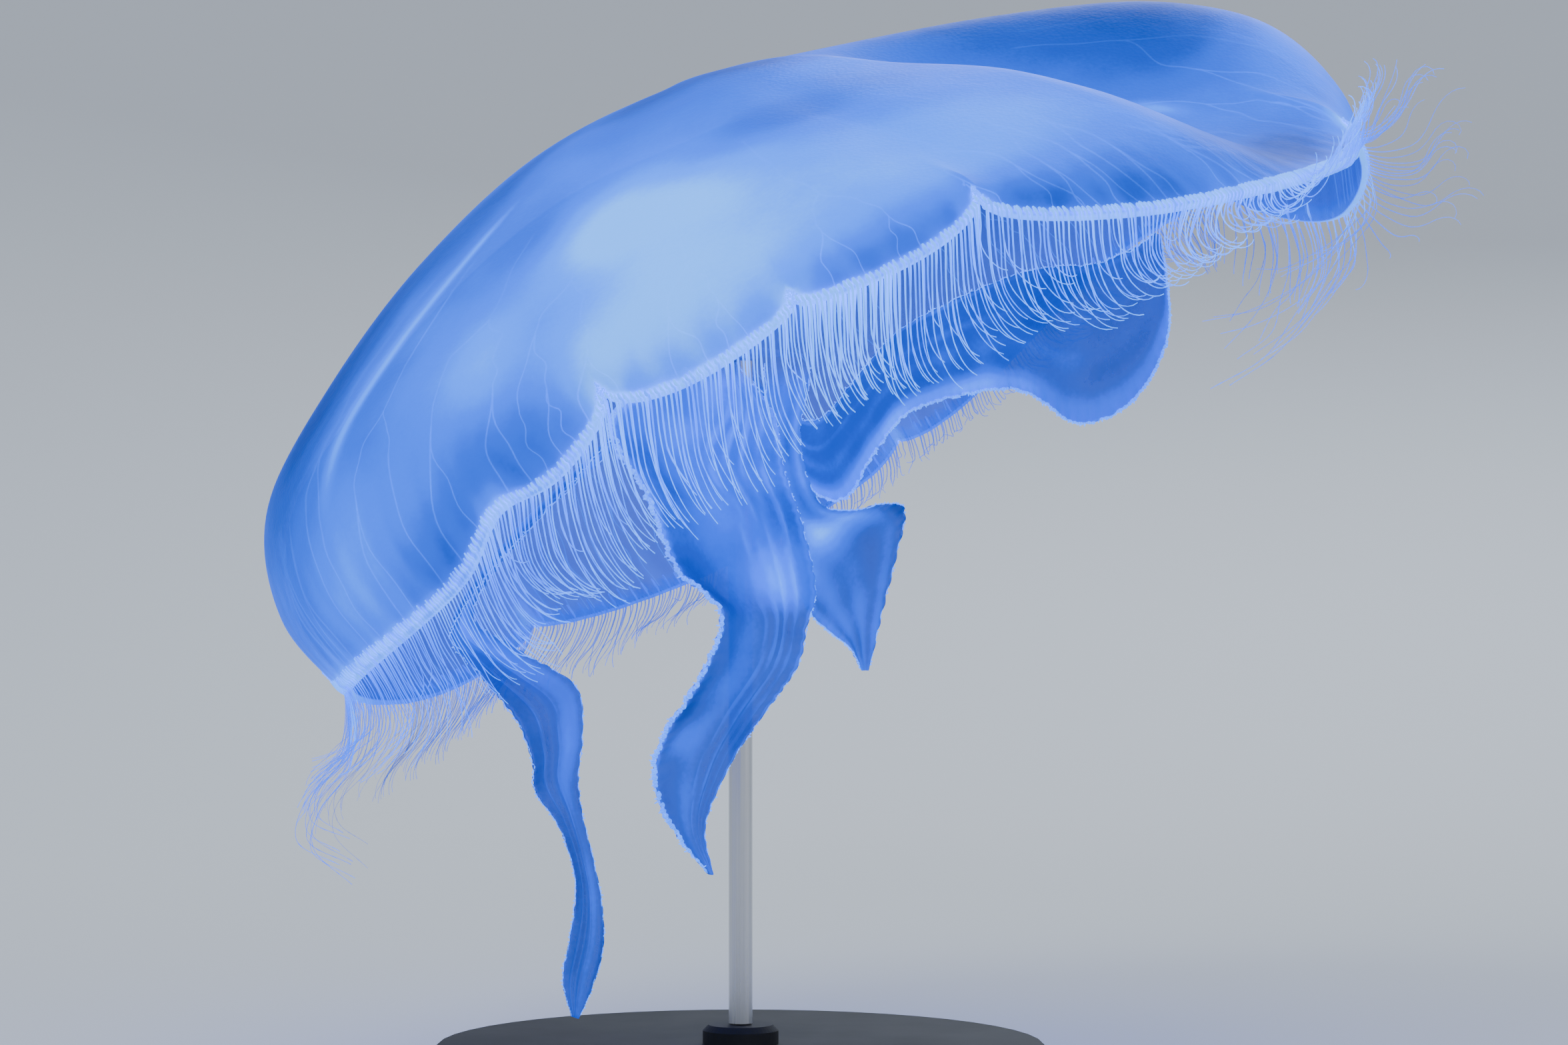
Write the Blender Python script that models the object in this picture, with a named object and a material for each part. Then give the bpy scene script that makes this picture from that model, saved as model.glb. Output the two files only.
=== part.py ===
"""Moon jellyfish (Aurelia), swimming with its bell half closed, life size, on a display stand.

Metres, +Z up.  The origin is the middle of the stand's underside.  The bell is first thought
of upright, with its axis along +Z and the side that faces -Y called near; then it is banked.
Azimuth runs round the bell from near (0 degrees) over right (+X, 90 degrees).
"""
import math

import bmesh
import bpy
from mathutils import Matrix, Vector

# ---------------------------------------------------------------- driving dimensions
BELL_RADIUS = 0.1215
BELL_CENTRE = Vector((0.023, 0.0, 0.1383))
BANK_LEFT = math.radians(28.0)
LEAN_BACK = math.radians(8.0)
JELLY_AT_CROWN = 0.013
JELLY_AT_MARGIN = 0.0022
JELLY_TAPER = 1.1
GAP = 0.0003
# The crown and the lobes meet at this share of the way down from the crown to the margin.
CROWN_EDGE = 0.48
LOBE_ROWS = 6
CROWN_ROWS = 4

# Half sections of the bell at some azimuths, in degrees, as (radius, height) in bell radii
# from the crown to the margin.  A deep fold lies between its near and its far part.
SECTIONS = (
    (-90.0, ((0.0, 0.662), (0.28, 0.658), (0.56, 0.572), (0.80, 0.445), (0.985, 0.305),
             (1.040, 0.155), (1.0, 0.0))),
    (0.0, ((0.0, 0.662), (0.27, 0.590), (0.50, 0.455), (0.72, 0.315), (0.90, 0.185),
           (1.00, 0.080), (1.0, 0.0))),
    (42.0, ((0.0, 0.662), (0.27, 0.575), (0.49, 0.440), (0.69, 0.315), (0.85, 0.175),
            (0.96, 0.065), (1.0, 0.0))),
    (65.0, ((0.0, 0.662), (0.26, 0.572), (0.44, 0.385), (0.60, 0.245), (0.76, 0.120),
            (0.91, 0.040), (1.0, 0.0))),
    (103.0, ((0.0, 0.662), (0.28, 0.608), (0.57, 0.535), (0.84, 0.435), (1.01, 0.305),
             (1.060, 0.155), (1.0, 0.0))),
    (143.0, ((0.0, 0.662), (0.28, 0.636), (0.565, 0.560), (0.83, 0.455), (0.985, 0.350),
             (1.045, 0.250), (1.02, 0.150))),
    (180.0, ((0.0, 0.662), (0.28, 0.658), (0.56, 0.575), (0.82, 0.450), (0.98, 0.310),
             (1.03, 0.155), (1.0, 0.0))),
)

# The eight notches that part the margin into lobes: azimuth in degrees, height of the
# margin there, and depth and half width in degrees of the furrow that runs up from it.
NOTCHES = (
    (-85.0, -0.0020, 0.0010, 8.0),
    (-20.0, 0.0080, 0.0012, 5.0),
    (-1.0, 0.0052, 0.0008, 5.0),
    (18.0, 0.0078, 0.0012, 5.0),
    (80.0, 0.0015, 0.0010, 8.0),
    (125.0, 0.0090, 0.0020, 9.0),
    (175.0, 0.0080, 0.0020, 9.0),
    (225.0, 0.0060, 0.0020, 9.0),
)
# A furrow starts this far down the bell, is deepest lower down, and eases near the margin.
FURROW_START = 0.15
FURROW_FULL = 0.60
FURROW_EASES = 0.70
FURROW_EASED_BY = 0.55
# Its depth is pressed partly inwards and partly down, across the slope of the bell.
FURROW_INWARDS = 0.75
FURROW_DOWNWARDS = 0.66
# The margin's scallops fade out this far down the bell, counted from the crown.
SCALLOP_START = 0.62
SCALLOP_FULLNESS = 0.55
# Lowest height of each lobe's margin, lobe after lobe from the first notch on.
LOBE_LOWS = (-0.0085, 0.0010, 0.0015, -0.0110, -0.0075, 0.0, 0.0, -0.0040)
LOBE_COLUMNS = (14, 6, 6, 12, 8, 8, 8, 8)
# One crease inside the first lobe, where its margin rises without being parted.
CREASE_AZIMUTH = -35.0
CREASE_RISE = 0.0050
CREASE_WIDTH = 5.0

# How the tentacles hang, round the margin: azimuth, where a tentacle heads for, where it ends,
# both from its root.
TENTACLE_LIE = (
    (-90.0, (-0.003, 0.000, -0.012), (-0.009, 0.000, -0.027)),
    (-74.0, (-0.001, -0.002, -0.010), (-0.011, -0.003, -0.024)),
    (-58.0, (0.003, -0.002, -0.008), (0.004, -0.004, -0.019)),
    (-42.0, (0.005, -0.002, -0.008), (0.007, -0.004, -0.016)),
    (-27.0, (0.003, -0.001, -0.012), (0.004, -0.002, -0.025)),
    (-10.0, (0.001, -0.001, -0.012), (0.002, -0.002, -0.024)),
    (8.0, (0.000, -0.001, -0.012), (0.002, -0.001, -0.021)),
    (22.0, (0.002, -0.001, -0.014), (0.012, -0.003, -0.022)),
    (42.0, (0.002, -0.002, -0.010), (0.008, -0.004, -0.013)),
    (56.0, (-0.003, -0.003, -0.008), (-0.003, -0.005, -0.014)),
    (68.0, (0.003, -0.003, 0.002), (0.005, -0.003, 0.010)),
    (80.0, (0.009, -0.001, -0.001), (0.015, -0.001, 0.008)),
    (95.0, (0.009, 0.001, -0.004), (0.015, 0.002, 0.001)),
    (112.0, (0.001, 0.001, -0.012), (-0.003, 0.002, -0.029)),
    (138.0, (0.006, 0.009, -0.003), (0.010, 0.019, 0.001)),
    (180.0, (0.001, 0.011, -0.004), (0.000, 0.021, -0.003)),
    (225.0, (-0.004, 0.008, -0.008), (-0.010, 0.014, -0.014)),
    (270.0, (-0.003, 0.000, -0.012), (-0.009, 0.000, -0.027)),
)
# Degrees of margin for each tentacle, and the bare stretch at each end of a lobe's band.
TENTACLE_SPACING = 6.0
BAND_KEEPS_OFF = 1.1
TENTACLE_ROOT = 0.0012
TENTACLE_TIP = 0.0006
TENTACLE_LENGTHS = 4
BAND_HEIGHT = 0.0010
BAND_WIDTH = 0.0019

MOUTH = Vector((0.0, 0.0, 0.151))
# The stalk above the mouth has four corners with hollows between them.  From the crown down:
# share of its length, size of the corners and of the hollows.
MANUBRIUM_CORNER = 0.0165
MANUBRIUM_HOLLOW = 0.0121
MANUBRIUM_RINGS = ((0.0, 1.05, 0.89), (0.3, 0.95, 0.71), (0.7, 0.90, 0.63), (1.0, 1.0, 0.60))
MANUBRIUM_SIDES = 16
# Its top lies this far under the crown, and follows the crown's inner skin.
STALK_CLEAR = 0.0015
STALK_TOP_REACH = 0.6

# The four oral arms: for each station along an arm its two edges, root first.
ARM_EDGES = {
    "oral_arm_front": (
        ((-0.0040, -0.0145, 0.1495), (-0.0005, -0.0055, 0.1495)),
        ((-0.0150, -0.0390, 0.1450), (0.0070, -0.0170, 0.1385)),
        ((-0.0249, -0.0620, 0.1355), (0.0092, -0.0280, 0.1265)),
        ((-0.0172, -0.0600, 0.1200), (0.0124, -0.0320, 0.1170)),
        ((-0.0122, -0.0580, 0.1072), (0.0155, -0.0360, 0.1026)),
        ((-0.0034, -0.0560, 0.0981), (0.0137, -0.0390, 0.0949)),
        ((-0.0071, -0.0540, 0.0859), (0.0117, -0.0410, 0.0867)),
        ((-0.0145, -0.0530, 0.0737), (0.0043, -0.0430, 0.0763)),
        ((-0.0166, -0.0520, 0.0645), (-0.0017, -0.0450, 0.0672)),
        ((-0.0132, -0.0510, 0.0554), (-0.0066, -0.0470, 0.0551)),
        ((-0.0062, -0.0500, 0.0460), (-0.0050, -0.0490, 0.0455)),
    ),
    "oral_arm_right": (
        ((0.0050, -0.0010, 0.1495), (0.0145, 0.0020, 0.1495)),
        ((0.0060, -0.0010, 0.1320), (0.0125, 0.0050, 0.1330)),
        ((0.0075, 0.0000, 0.1190), (0.0165, 0.0100, 0.1205)),
        ((0.0100, 0.0060, 0.1090), (0.0235, 0.0180, 0.1185)),
        ((0.0125, 0.0140, 0.1005), (0.0310, 0.0280, 0.1200)),
        ((0.0160, 0.0210, 0.0950), (0.0355, 0.0340, 0.1185)),
        ((0.0200, 0.0260, 0.0915), (0.0335, 0.0360, 0.1080)),
        ((0.0235, 0.0300, 0.0885), (0.0305, 0.0360, 0.0960)),
        ((0.0262, 0.0340, 0.0835), (0.0276, 0.0350, 0.0835)),
    ),
    "oral_arm_left": (
        ((-0.0145, -0.0010, 0.1495), (-0.0050, 0.0005, 0.1495)),
        ((-0.0320, -0.0040, 0.1280), (-0.0240, 0.0020, 0.1340)),
        ((-0.0500, -0.0100, 0.1080), (-0.0440, -0.0020, 0.1150)),
        ((-0.0600, -0.0140, 0.0930), (-0.0560, -0.0060, 0.0975)),
        ((-0.0535, -0.0150, 0.0838), (-0.0469, -0.0070, 0.0895)),
        ((-0.0463, -0.0160, 0.0750), (-0.0346, -0.0090, 0.0819)),
        ((-0.0431, -0.0150, 0.0662), (-0.0329, -0.0100, 0.0725)),
        ((-0.0426, -0.0140, 0.0601), (-0.0338, -0.0100, 0.0635)),
        ((-0.0382, -0.0120, 0.0534), (-0.0330, -0.0100, 0.0552)),
        ((-0.0351, -0.0110, 0.0451), (-0.0307, -0.0090, 0.0454)),
        ((-0.0343, -0.0100, 0.0380), (-0.0290, -0.0080, 0.0369)),
        ((-0.0354, -0.0100, 0.0300), (-0.0286, -0.0080, 0.0275)),
        ((-0.0370, -0.0100, 0.0203), (-0.0308, -0.0080, 0.0190)),
        ((-0.0352, -0.0100, 0.0128), (-0.0338, -0.0090, 0.0122)),
    ),
    "oral_arm_back": (
        ((0.0015, 0.0145, 0.1495), (0.0000, 0.0050, 0.1495)),
        ((0.0110, 0.0210, 0.1270), (0.0080, 0.0130, 0.1410)),
        ((0.0215, 0.0260, 0.1210), (0.0160, 0.0200, 0.1380)),
        ((0.0295, 0.0350, 0.1320), (0.0245, 0.0320, 0.1470)),
        ((0.0370, 0.0450, 0.1405), (0.0340, 0.0430, 0.1580)),
        ((0.0490, 0.0550, 0.1445), (0.0480, 0.0520, 0.1660)),
        ((0.0605, 0.0620, 0.1460), (0.0610, 0.0580, 0.1715)),
        ((0.0680, 0.0660, 0.1430), (0.0700, 0.0610, 0.1735)),
        ((0.0750, 0.0700, 0.1385), (0.0765, 0.0650, 0.1740)),
        ((0.0830, 0.0720, 0.1400), (0.0815, 0.0670, 0.1750)),
        ((0.0905, 0.0740, 0.1460), (0.0850, 0.0690, 0.1765)),
        ((0.0960, 0.0740, 0.1560), (0.0880, 0.0700, 0.1780)),
        ((0.0970, 0.0720, 0.1640), (0.0902, 0.0700, 0.1792)),
        ((0.0958, 0.0700, 0.1730), (0.0920, 0.0690, 0.1805)),
        ((0.0945, 0.0680, 0.1810), (0.0932, 0.0675, 0.1815)),
    ),
}
ARM_THICKNESS = 0.0016
ARM_EDGE_THICKNESS = 0.0008
# Where an arm narrows to its tip, it thins to this share of its width, and no less than this.
ARM_NARROW_SHARE = 0.35
ARM_POINT_THICKNESS = 0.0005
ARM_BOW = 0.10
ARM_CUTS = (0.34, 0.67)
ARM_PARTS = ("upper", "middle", "tip")
ARM_LENGTHS = 6
ARM_STRIPS = 4

GONAD_RADIUS = 0.0032
GONAD_AZIMUTHS = (45.0, 135.0, 225.0, 315.0)
GONAD_MIDDLE = 0.27
GONAD_REACH = 0.10
GONAD_SPREAD = 30.0
GONAD_TURN = 115.0
GONAD_STEPS = 10
GONAD_SIDES = 6
GONAD_END_SIZE = 0.55
GONAD_FLATNESS = 1.15

RHOPALIUM_LENGTH = 0.0024
RHOPALIUM_RADIUS = 0.0008
RHOPALIUM_RINGS = ((0.0, 0.35), (0.4, 0.70), (0.75, 1.0), (1.0, 0.5))
RHOPALIUM_SIDES = 6

STAND_RADIUS = 0.065
STAND_THICKNESS = 0.006
STAND_BEVEL = 0.0012
BOSS_RADIUS = 0.008
BOSS_HEIGHT = 0.004
ROD_RADIUS = 0.0025
ROD_TIP_RADIUS = 0.00175
ROD_TIP_LENGTH = 0.0007
BASE_SIDES = 48
ROD_SIDES = 16

BANK = (Matrix.Rotation(-BANK_LEFT, 3, "Y") @ Matrix.Rotation(-LEAN_BACK, 3, "X"))


# ---------------------------------------------------------------- curves and the bell's surface
def smooth_step(value):
    """0 below 0, 1 above 1, and an easy rise between them."""
    value = min(max(value, 0.0), 1.0)
    return value * value * (3.0 - 2.0 * value)


def curve_through(points, share, before=None):
    """A point on the Catmull-Rom curve through the points, at a share of its length."""
    last = len(points) - 1
    place = min(max(share, 0.0), 1.0) * last
    first = min(int(place), last - 1)
    step = place - first
    start, end = points[first], points[first + 1]
    ahead = points[first + 2] if first + 2 <= last else 2.0 * end - start
    if first > 0:
        behind = points[first - 1]
    else:
        behind = before if before is not None else 2.0 * start - end
    return 0.5 * (2.0 * start + (end - behind) * step
                  + (2.0 * behind - 5.0 * start + 4.0 * end - ahead) * step ** 2
                  + (3.0 * start - behind - 3.0 * end + ahead) * step ** 3)


def section_points(azimuth):
    """The half section at an azimuth, as vectors (radius, height) in bell radii."""
    place = (azimuth + 90.0) % 360.0 - 90.0
    stations = SECTIONS + ((SECTIONS[0][0] + 360.0, SECTIONS[0][1]),)
    for (first, low), (second, high) in zip(stations, stations[1:]):
        if first <= place <= second:
            share = smooth_step((place - first) / (second - first))
            return [Vector(start).lerp(Vector(end), share) for start, end in zip(low, high)]
    return []


def angle_between(azimuth, other):
    """Signed difference of two azimuths, from -180 to 180 degrees."""
    return (azimuth - other + 180.0) % 360.0 - 180.0


def lobe_span(lobe):
    """First and last azimuth of a lobe, in degrees, the last one the larger."""
    start = NOTCHES[lobe][0]
    width = (NOTCHES[(lobe + 1) % len(NOTCHES)][0] - start) % 360.0
    return start, start + width


def margin_height(azimuth):
    """Height of the margin above the bell's middle plane: high at notches, low along lobes."""
    for lobe, low in enumerate(LOBE_LOWS):
        start, end = lobe_span(lobe)
        share = ((azimuth - start) % 360.0) / (end - start)
        if share <= 1.0:
            ends = (NOTCHES[lobe][1], NOTCHES[(lobe + 1) % len(NOTCHES)][1])
            straight = ends[0] + (ends[1] - ends[0]) * smooth_step(share)
            sag = math.sin(math.pi * share) ** SCALLOP_FULLNESS
            crease = math.exp(-(angle_between(azimuth, CREASE_AZIMUTH) / CREASE_WIDTH) ** 2)
            return straight + (low - straight) * sag + CREASE_RISE * crease
    return 0.0


def furrow_depth(azimuth, down):
    """How far the notches' furrows press the bell in, at a share of the way down to the margin."""
    press = smooth_step((down - FURROW_START) / (FURROW_FULL - FURROW_START))
    press *= 1.0 - FURROW_EASED_BY * smooth_step((down - FURROW_EASES) / (1.0 - FURROW_EASES))
    total = 0.0
    for notch_azimuth, _, depth, width in NOTCHES:
        total += depth * math.exp(-(angle_between(azimuth, notch_azimuth) / width) ** 2)
    return total * press


def upright_point(azimuth, down):
    """A point of the outer skin of the upright bell; down is 0 at the crown, 1 at the margin."""
    opposite = section_points(azimuth + 180.0)[1]
    before = Vector((-opposite.x, opposite.y))
    radius, height = curve_through(section_points(azimuth), down, before) * BELL_RADIUS
    press = furrow_depth(azimuth, down)
    radius -= FURROW_INWARDS * press
    height -= FURROW_DOWNWARDS * press
    height += margin_height(azimuth) * smooth_step((down - SCALLOP_START) / (1.0 - SCALLOP_START))
    angle = math.radians(azimuth)
    return Vector((radius * math.sin(angle), -radius * math.cos(angle), height))


def upright_normal(azimuth, down):
    """The outward direction of the upright bell's skin, from its slopes down and around."""
    step, turn = 0.01, 1.5
    if down < 2.0 * step:
        right = upright_point(90.0, step) - upright_point(-90.0, step)
        return right.cross(upright_point(180.0, step) - upright_point(0.0, step)).normalized()
    along = upright_point(azimuth, min(down + step, 1.0)) - upright_point(azimuth, down - step)
    around = upright_point(azimuth + turn, down) - upright_point(azimuth - turn, down)
    return along.cross(around).normalized()


def jelly_thickness(down):
    """Thickness of the bell, thick at the crown and thin at the margin."""
    return JELLY_AT_MARGIN + (JELLY_AT_CROWN - JELLY_AT_MARGIN) * (1.0 - down) ** JELLY_TAPER


def bell_point(azimuth, down, depth=0.0):
    """A point of the banked bell, depth metres under its outer skin, in world axes."""
    point = upright_point(azimuth, down) - upright_normal(azimuth, down) * depth
    return BANK @ point + BELL_CENTRE


def inner_point(azimuth, down, clear=0.0):
    """A point on the bell's inner skin, or clear metres below it."""
    return bell_point(azimuth, down, jelly_thickness(down) + clear)


# ---------------------------------------------------------------- making objects
def clear_scene():
    for thing in list(bpy.data.objects):
        bpy.data.objects.remove(thing, do_unlink=True)


def make_material(name, colour, roughness, metallic=0.0, alpha=1.0):
    material = bpy.data.materials.new(name)
    material.use_nodes = True
    shader = material.node_tree.nodes["Principled BSDF"]
    shader.inputs["Base Color"].default_value = (*colour, 1.0)
    shader.inputs["Roughness"].default_value = roughness
    shader.inputs["Metallic"].default_value = metallic
    shader.inputs["Alpha"].default_value = alpha
    return material


def add_object(name, solid, material, smooth_angle=50.0):
    """Turn a bmesh into a named object with its material."""
    bmesh.ops.recalc_face_normals(solid, faces=solid.faces)
    if solid.calc_volume(signed=True) < 0.0:
        bmesh.ops.reverse_faces(solid, faces=solid.faces)
    mesh = bpy.data.meshes.new(name)
    solid.to_mesh(mesh)
    solid.free()
    mesh.materials.append(material)
    mesh.shade_smooth()
    mesh.set_sharp_from_angle(angle=math.radians(smooth_angle))
    thing = bpy.data.objects.new(name, mesh)
    bpy.context.scene.collection.objects.link(thing)
    return thing


def join_rows(solid, first, second, closed):
    """Quads between two rows of vertices of the same length."""
    count = len(first)
    for index in range(count if closed else count - 1):
        after = (index + 1) % count
        solid.faces.new((first[index], first[after], second[after], second[index]))


def loft(solid, rings):
    """A closed body through rings of vertices, with flat ends."""
    rows = [[solid.verts.new(point) for point in ring] for ring in rings]
    for first, second in zip(rows, rows[1:]):
        join_rows(solid, first, second, True)
    solid.faces.new(rows[0])
    solid.faces.new(rows[-1])


# ---------------------------------------------------------------- the bell
def lobe_azimuths(lobe):
    """Columns of a lobe: close together at its notches, wider along its middle."""
    start, end = lobe_span(lobe)
    columns = LOBE_COLUMNS[lobe]
    places = []
    for column in range(columns + 1):
        share = column / columns
        eased = 0.5 - 0.5 * math.cos(math.pi * share)
        places.append(start + (end - start) * (0.45 * share + 0.55 * eased))
    return places


def make_crown(material):
    """The thick middle of the bell, whose cut edge meets the eight lobes."""
    azimuths = [place for lobe in range(len(NOTCHES)) for place in lobe_azimuths(lobe)[:-1]]
    edge = CROWN_EDGE - GAP
    solid = bmesh.new()
    skins = []
    for side in (0.0, 1.0):
        tip = solid.verts.new(bell_point(0.0, 0.0, side * jelly_thickness(0.0)))
        rows = []
        for row in range(1, CROWN_ROWS + 1):
            down = edge * row / CROWN_ROWS
            depth = side * jelly_thickness(down)
            rows.append([solid.verts.new(bell_point(place, down, depth)) for place in azimuths])
        for index, vertex in enumerate(rows[0]):
            solid.faces.new((tip, vertex, rows[0][(index + 1) % len(azimuths)]))
        for first, second in zip(rows, rows[1:]):
            join_rows(solid, first, second, True)
        skins.append(rows[-1])
    join_rows(solid, skins[0], skins[1], True)
    add_object("bell_crown", solid, material)


def make_lobe(lobe, material):
    """One lobe of the bell, from the crown's edge down to the margin, between two notches."""
    azimuths = lobe_azimuths(lobe)
    half_gap = math.degrees(0.5 * GAP / BELL_RADIUS)
    azimuths[0] += half_gap
    azimuths[-1] -= half_gap
    top = CROWN_EDGE + 2.0 * GAP
    solid = bmesh.new()
    skins = []
    for side in (0.0, 1.0):
        rows = []
        for row in range(LOBE_ROWS + 1):
            down = top + (1.0 - top) * row / LOBE_ROWS
            depth = side * jelly_thickness(down)
            rows.append([solid.verts.new(bell_point(place, down, depth)) for place in azimuths])
        for first, second in zip(rows, rows[1:]):
            join_rows(solid, first, second, False)
        skins.append(rows)
    outer, inner = skins
    join_rows(solid, outer[0], inner[0], False)
    join_rows(solid, outer[-1], inner[-1], False)
    join_rows(solid, [row[0] for row in outer], [row[0] for row in inner], False)
    join_rows(solid, [row[-1] for row in outer], [row[-1] for row in inner], False)
    add_object(f"bell_lobe_{lobe + 1}", solid, material)


# ---------------------------------------------------------------- tentacles and sense organs
def tentacle_lie(azimuth):
    """Heading and end of a tentacle at an azimuth, from its root."""
    place = (azimuth + 90.0) % 360.0 - 90.0
    for (first, *low), (second, *high) in zip(TENTACLE_LIE, TENTACLE_LIE[1:]):
        if first <= place <= second:
            share = smooth_step((place - first) / (second - first))
            return [Vector(a).lerp(Vector(b), share) for a, b in zip(low, high)]
    return [Vector(part) for part in TENTACLE_LIE[-1][1:]]


def margin_frame(azimuth):
    """Middle of the margin's edge with its downward, outward and sideways directions."""
    edge = (bell_point(azimuth, 1.0) + inner_point(azimuth, 1.0)) * 0.5
    outward = (bell_point(azimuth, 1.0) - inner_point(azimuth, 1.0)).normalized()
    above = (bell_point(azimuth, 0.98) + inner_point(azimuth, 0.98)) * 0.5
    downward = (edge - above).normalized()
    return edge, downward, outward, outward.cross(downward)


def strand_rings(root, azimuth):
    """Square rings along one tentacle, from under the band that it grows from to its tip."""
    heading, end = tentacle_lie(azimuth)
    sideways = margin_frame(azimuth)[3]
    rings = []
    for step in range(1, TENTACLE_LENGTHS + 1):
        share = step / TENTACLE_LENGTHS
        middle = root + heading * 2.0 * share * (1.0 - share) + end * share ** 2
        along = (heading * (1.0 - 2.0 * share) + end * share).normalized()
        broad = (sideways - along * sideways.dot(along)).normalized()
        thick = along.cross(broad)
        half = 0.5 * (TENTACLE_ROOT + (TENTACLE_TIP - TENTACLE_ROOT) * share)
        rings.append([middle + thick * half * out + broad * half * side
                      for out, side in ((1, -1), (1, 1), (-1, 1), (-1, -1))])
    return rings


def make_fringe(lobe, material):
    """A lobe's tentacles, joined along the thin band under the margin that they grow from."""
    start, end = lobe_span(lobe)
    count = max(2, round((end - start) / TENTACLE_SPACING))
    pitch = (end - start - 2.0 * BAND_KEEPS_OFF) / count
    root_half = math.degrees(0.5 * TENTACLE_ROOT / BELL_RADIUS)
    places = [(start + BAND_KEEPS_OFF, False)]
    for tentacle in range(count):
        middle = start + BAND_KEEPS_OFF + pitch * (tentacle + 0.5)
        places += [(middle - root_half, True), (middle + root_half, False)]
    places.append((end - BAND_KEEPS_OFF, False))
    solid = bmesh.new()
    sections = []
    for place, _ in places:
        edge, downward, outward, _ = margin_frame(place)
        top = edge + downward * 2.0 * GAP
        bottom = top + downward * BAND_HEIGHT
        half = outward * 0.5 * BAND_WIDTH
        sections.append([solid.verts.new(point)
                         for point in (top + half, top - half, bottom - half, bottom + half)])
    for index, (first, second) in enumerate(zip(sections, sections[1:])):
        has_strand = places[index][1]
        for side in range(4):
            if side == 2 and has_strand:
                continue
            after = (side + 1) % 4
            solid.faces.new((first[side], first[after], second[after], second[side]))
        if has_strand:
            azimuth = 0.5 * (places[index][0] + places[index + 1][0])
            foot = [first[3], second[3], second[2], first[2]]
            root = sum((vertex.co for vertex in foot), Vector()) / 4.0
            rows = [foot] + [[solid.verts.new(point) for point in ring]
                             for ring in strand_rings(root, azimuth)]
            for upper, lower in zip(rows, rows[1:]):
                join_rows(solid, upper, lower, True)
            solid.faces.new(rows[-1])
    solid.faces.new(sections[0])
    solid.faces.new(sections[-1])
    add_object(f"fringe_{lobe + 1}", solid, material)


def make_rhopalium(number, azimuth, material):
    """The small sense organ that hangs in a notch of the margin."""
    edge, downward, outward, sideways = margin_frame(azimuth)
    solid = bmesh.new()
    rings = []
    for share, width in RHOPALIUM_RINGS:
        middle = edge + downward * (5.0 * GAP + RHOPALIUM_LENGTH * share)
        ring = []
        for corner in range(RHOPALIUM_SIDES):
            angle = math.tau * corner / RHOPALIUM_SIDES
            ring.append(middle + (outward * math.cos(angle) + sideways * math.sin(angle))
                        * RHOPALIUM_RADIUS * width)
        rings.append(ring)
    loft(solid, rings)
    add_object(f"rhopalium_{number}", solid, material)


# ---------------------------------------------------------------- under the bell
def make_gonad(number, azimuth, material):
    """A horseshoe of gonad under the crown, open towards the middle of the bell."""
    rings = []
    for step in range(GONAD_STEPS + 1):
        share = step / GONAD_STEPS
        turn = math.radians(GONAD_TURN * (2.0 * share - 1.0))
        down = GONAD_MIDDLE + GONAD_REACH * math.cos(turn)
        place = azimuth + GONAD_SPREAD * math.sin(turn) * GONAD_MIDDLE / down
        fullness = GONAD_END_SIZE + (1.0 - GONAD_END_SIZE) * math.sin(math.pi * share)
        middle = inner_point(place, down, GONAD_RADIUS + 3.0 * GAP)
        up = (inner_point(place, down) - middle).normalized()
        rings.append((middle, up, GONAD_RADIUS * fullness))
    solid = bmesh.new()
    loops = []
    for index, (middle, up, size) in enumerate(rings):
        along = rings[min(index + 1, GONAD_STEPS)][0] - rings[max(index - 1, 0)][0]
        across = along.cross(up).normalized()
        ring = []
        for corner in range(GONAD_SIDES):
            angle = math.tau * corner / GONAD_SIDES
            ring.append(middle + across * math.cos(angle) * GONAD_FLATNESS * size
                        + up * math.sin(angle) * size)
        loops.append(ring)
    loft(solid, loops)
    add_object(f"gonad_{number}", solid, material)


def make_manubrium(material):
    """The four-cornered stalk between the crown and the mouth, where the arms begin."""
    crown_foot = inner_point(0.0, 0.0, 3.0 * GAP)
    solid = bmesh.new()
    rings = []
    for share, corner_size, hollow_size in MANUBRIUM_RINGS:
        middle = crown_foot.lerp(MOUTH, share)
        ring = []
        for side in range(MANUBRIUM_SIDES):
            angle = math.tau * side / MANUBRIUM_SIDES
            beat = (0.5 + 0.5 * math.cos(4.0 * angle)) ** 1.5
            low, high = MANUBRIUM_HOLLOW * hollow_size, MANUBRIUM_CORNER * corner_size
            radius = low + (high - low) * beat
            if share == 0.0:
                down = STALK_TOP_REACH * radius / BELL_RADIUS
                ring.append(inner_point(math.degrees(angle) + 90.0, down, STALK_CLEAR))
            else:
                level = Vector((math.cos(angle), math.sin(angle), 0.0)) * radius
                ring.append(middle + (BANK @ level).lerp(level, share))
        rings.append(ring)
    loft(solid, rings)
    add_object("manubrium", solid, material)


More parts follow.
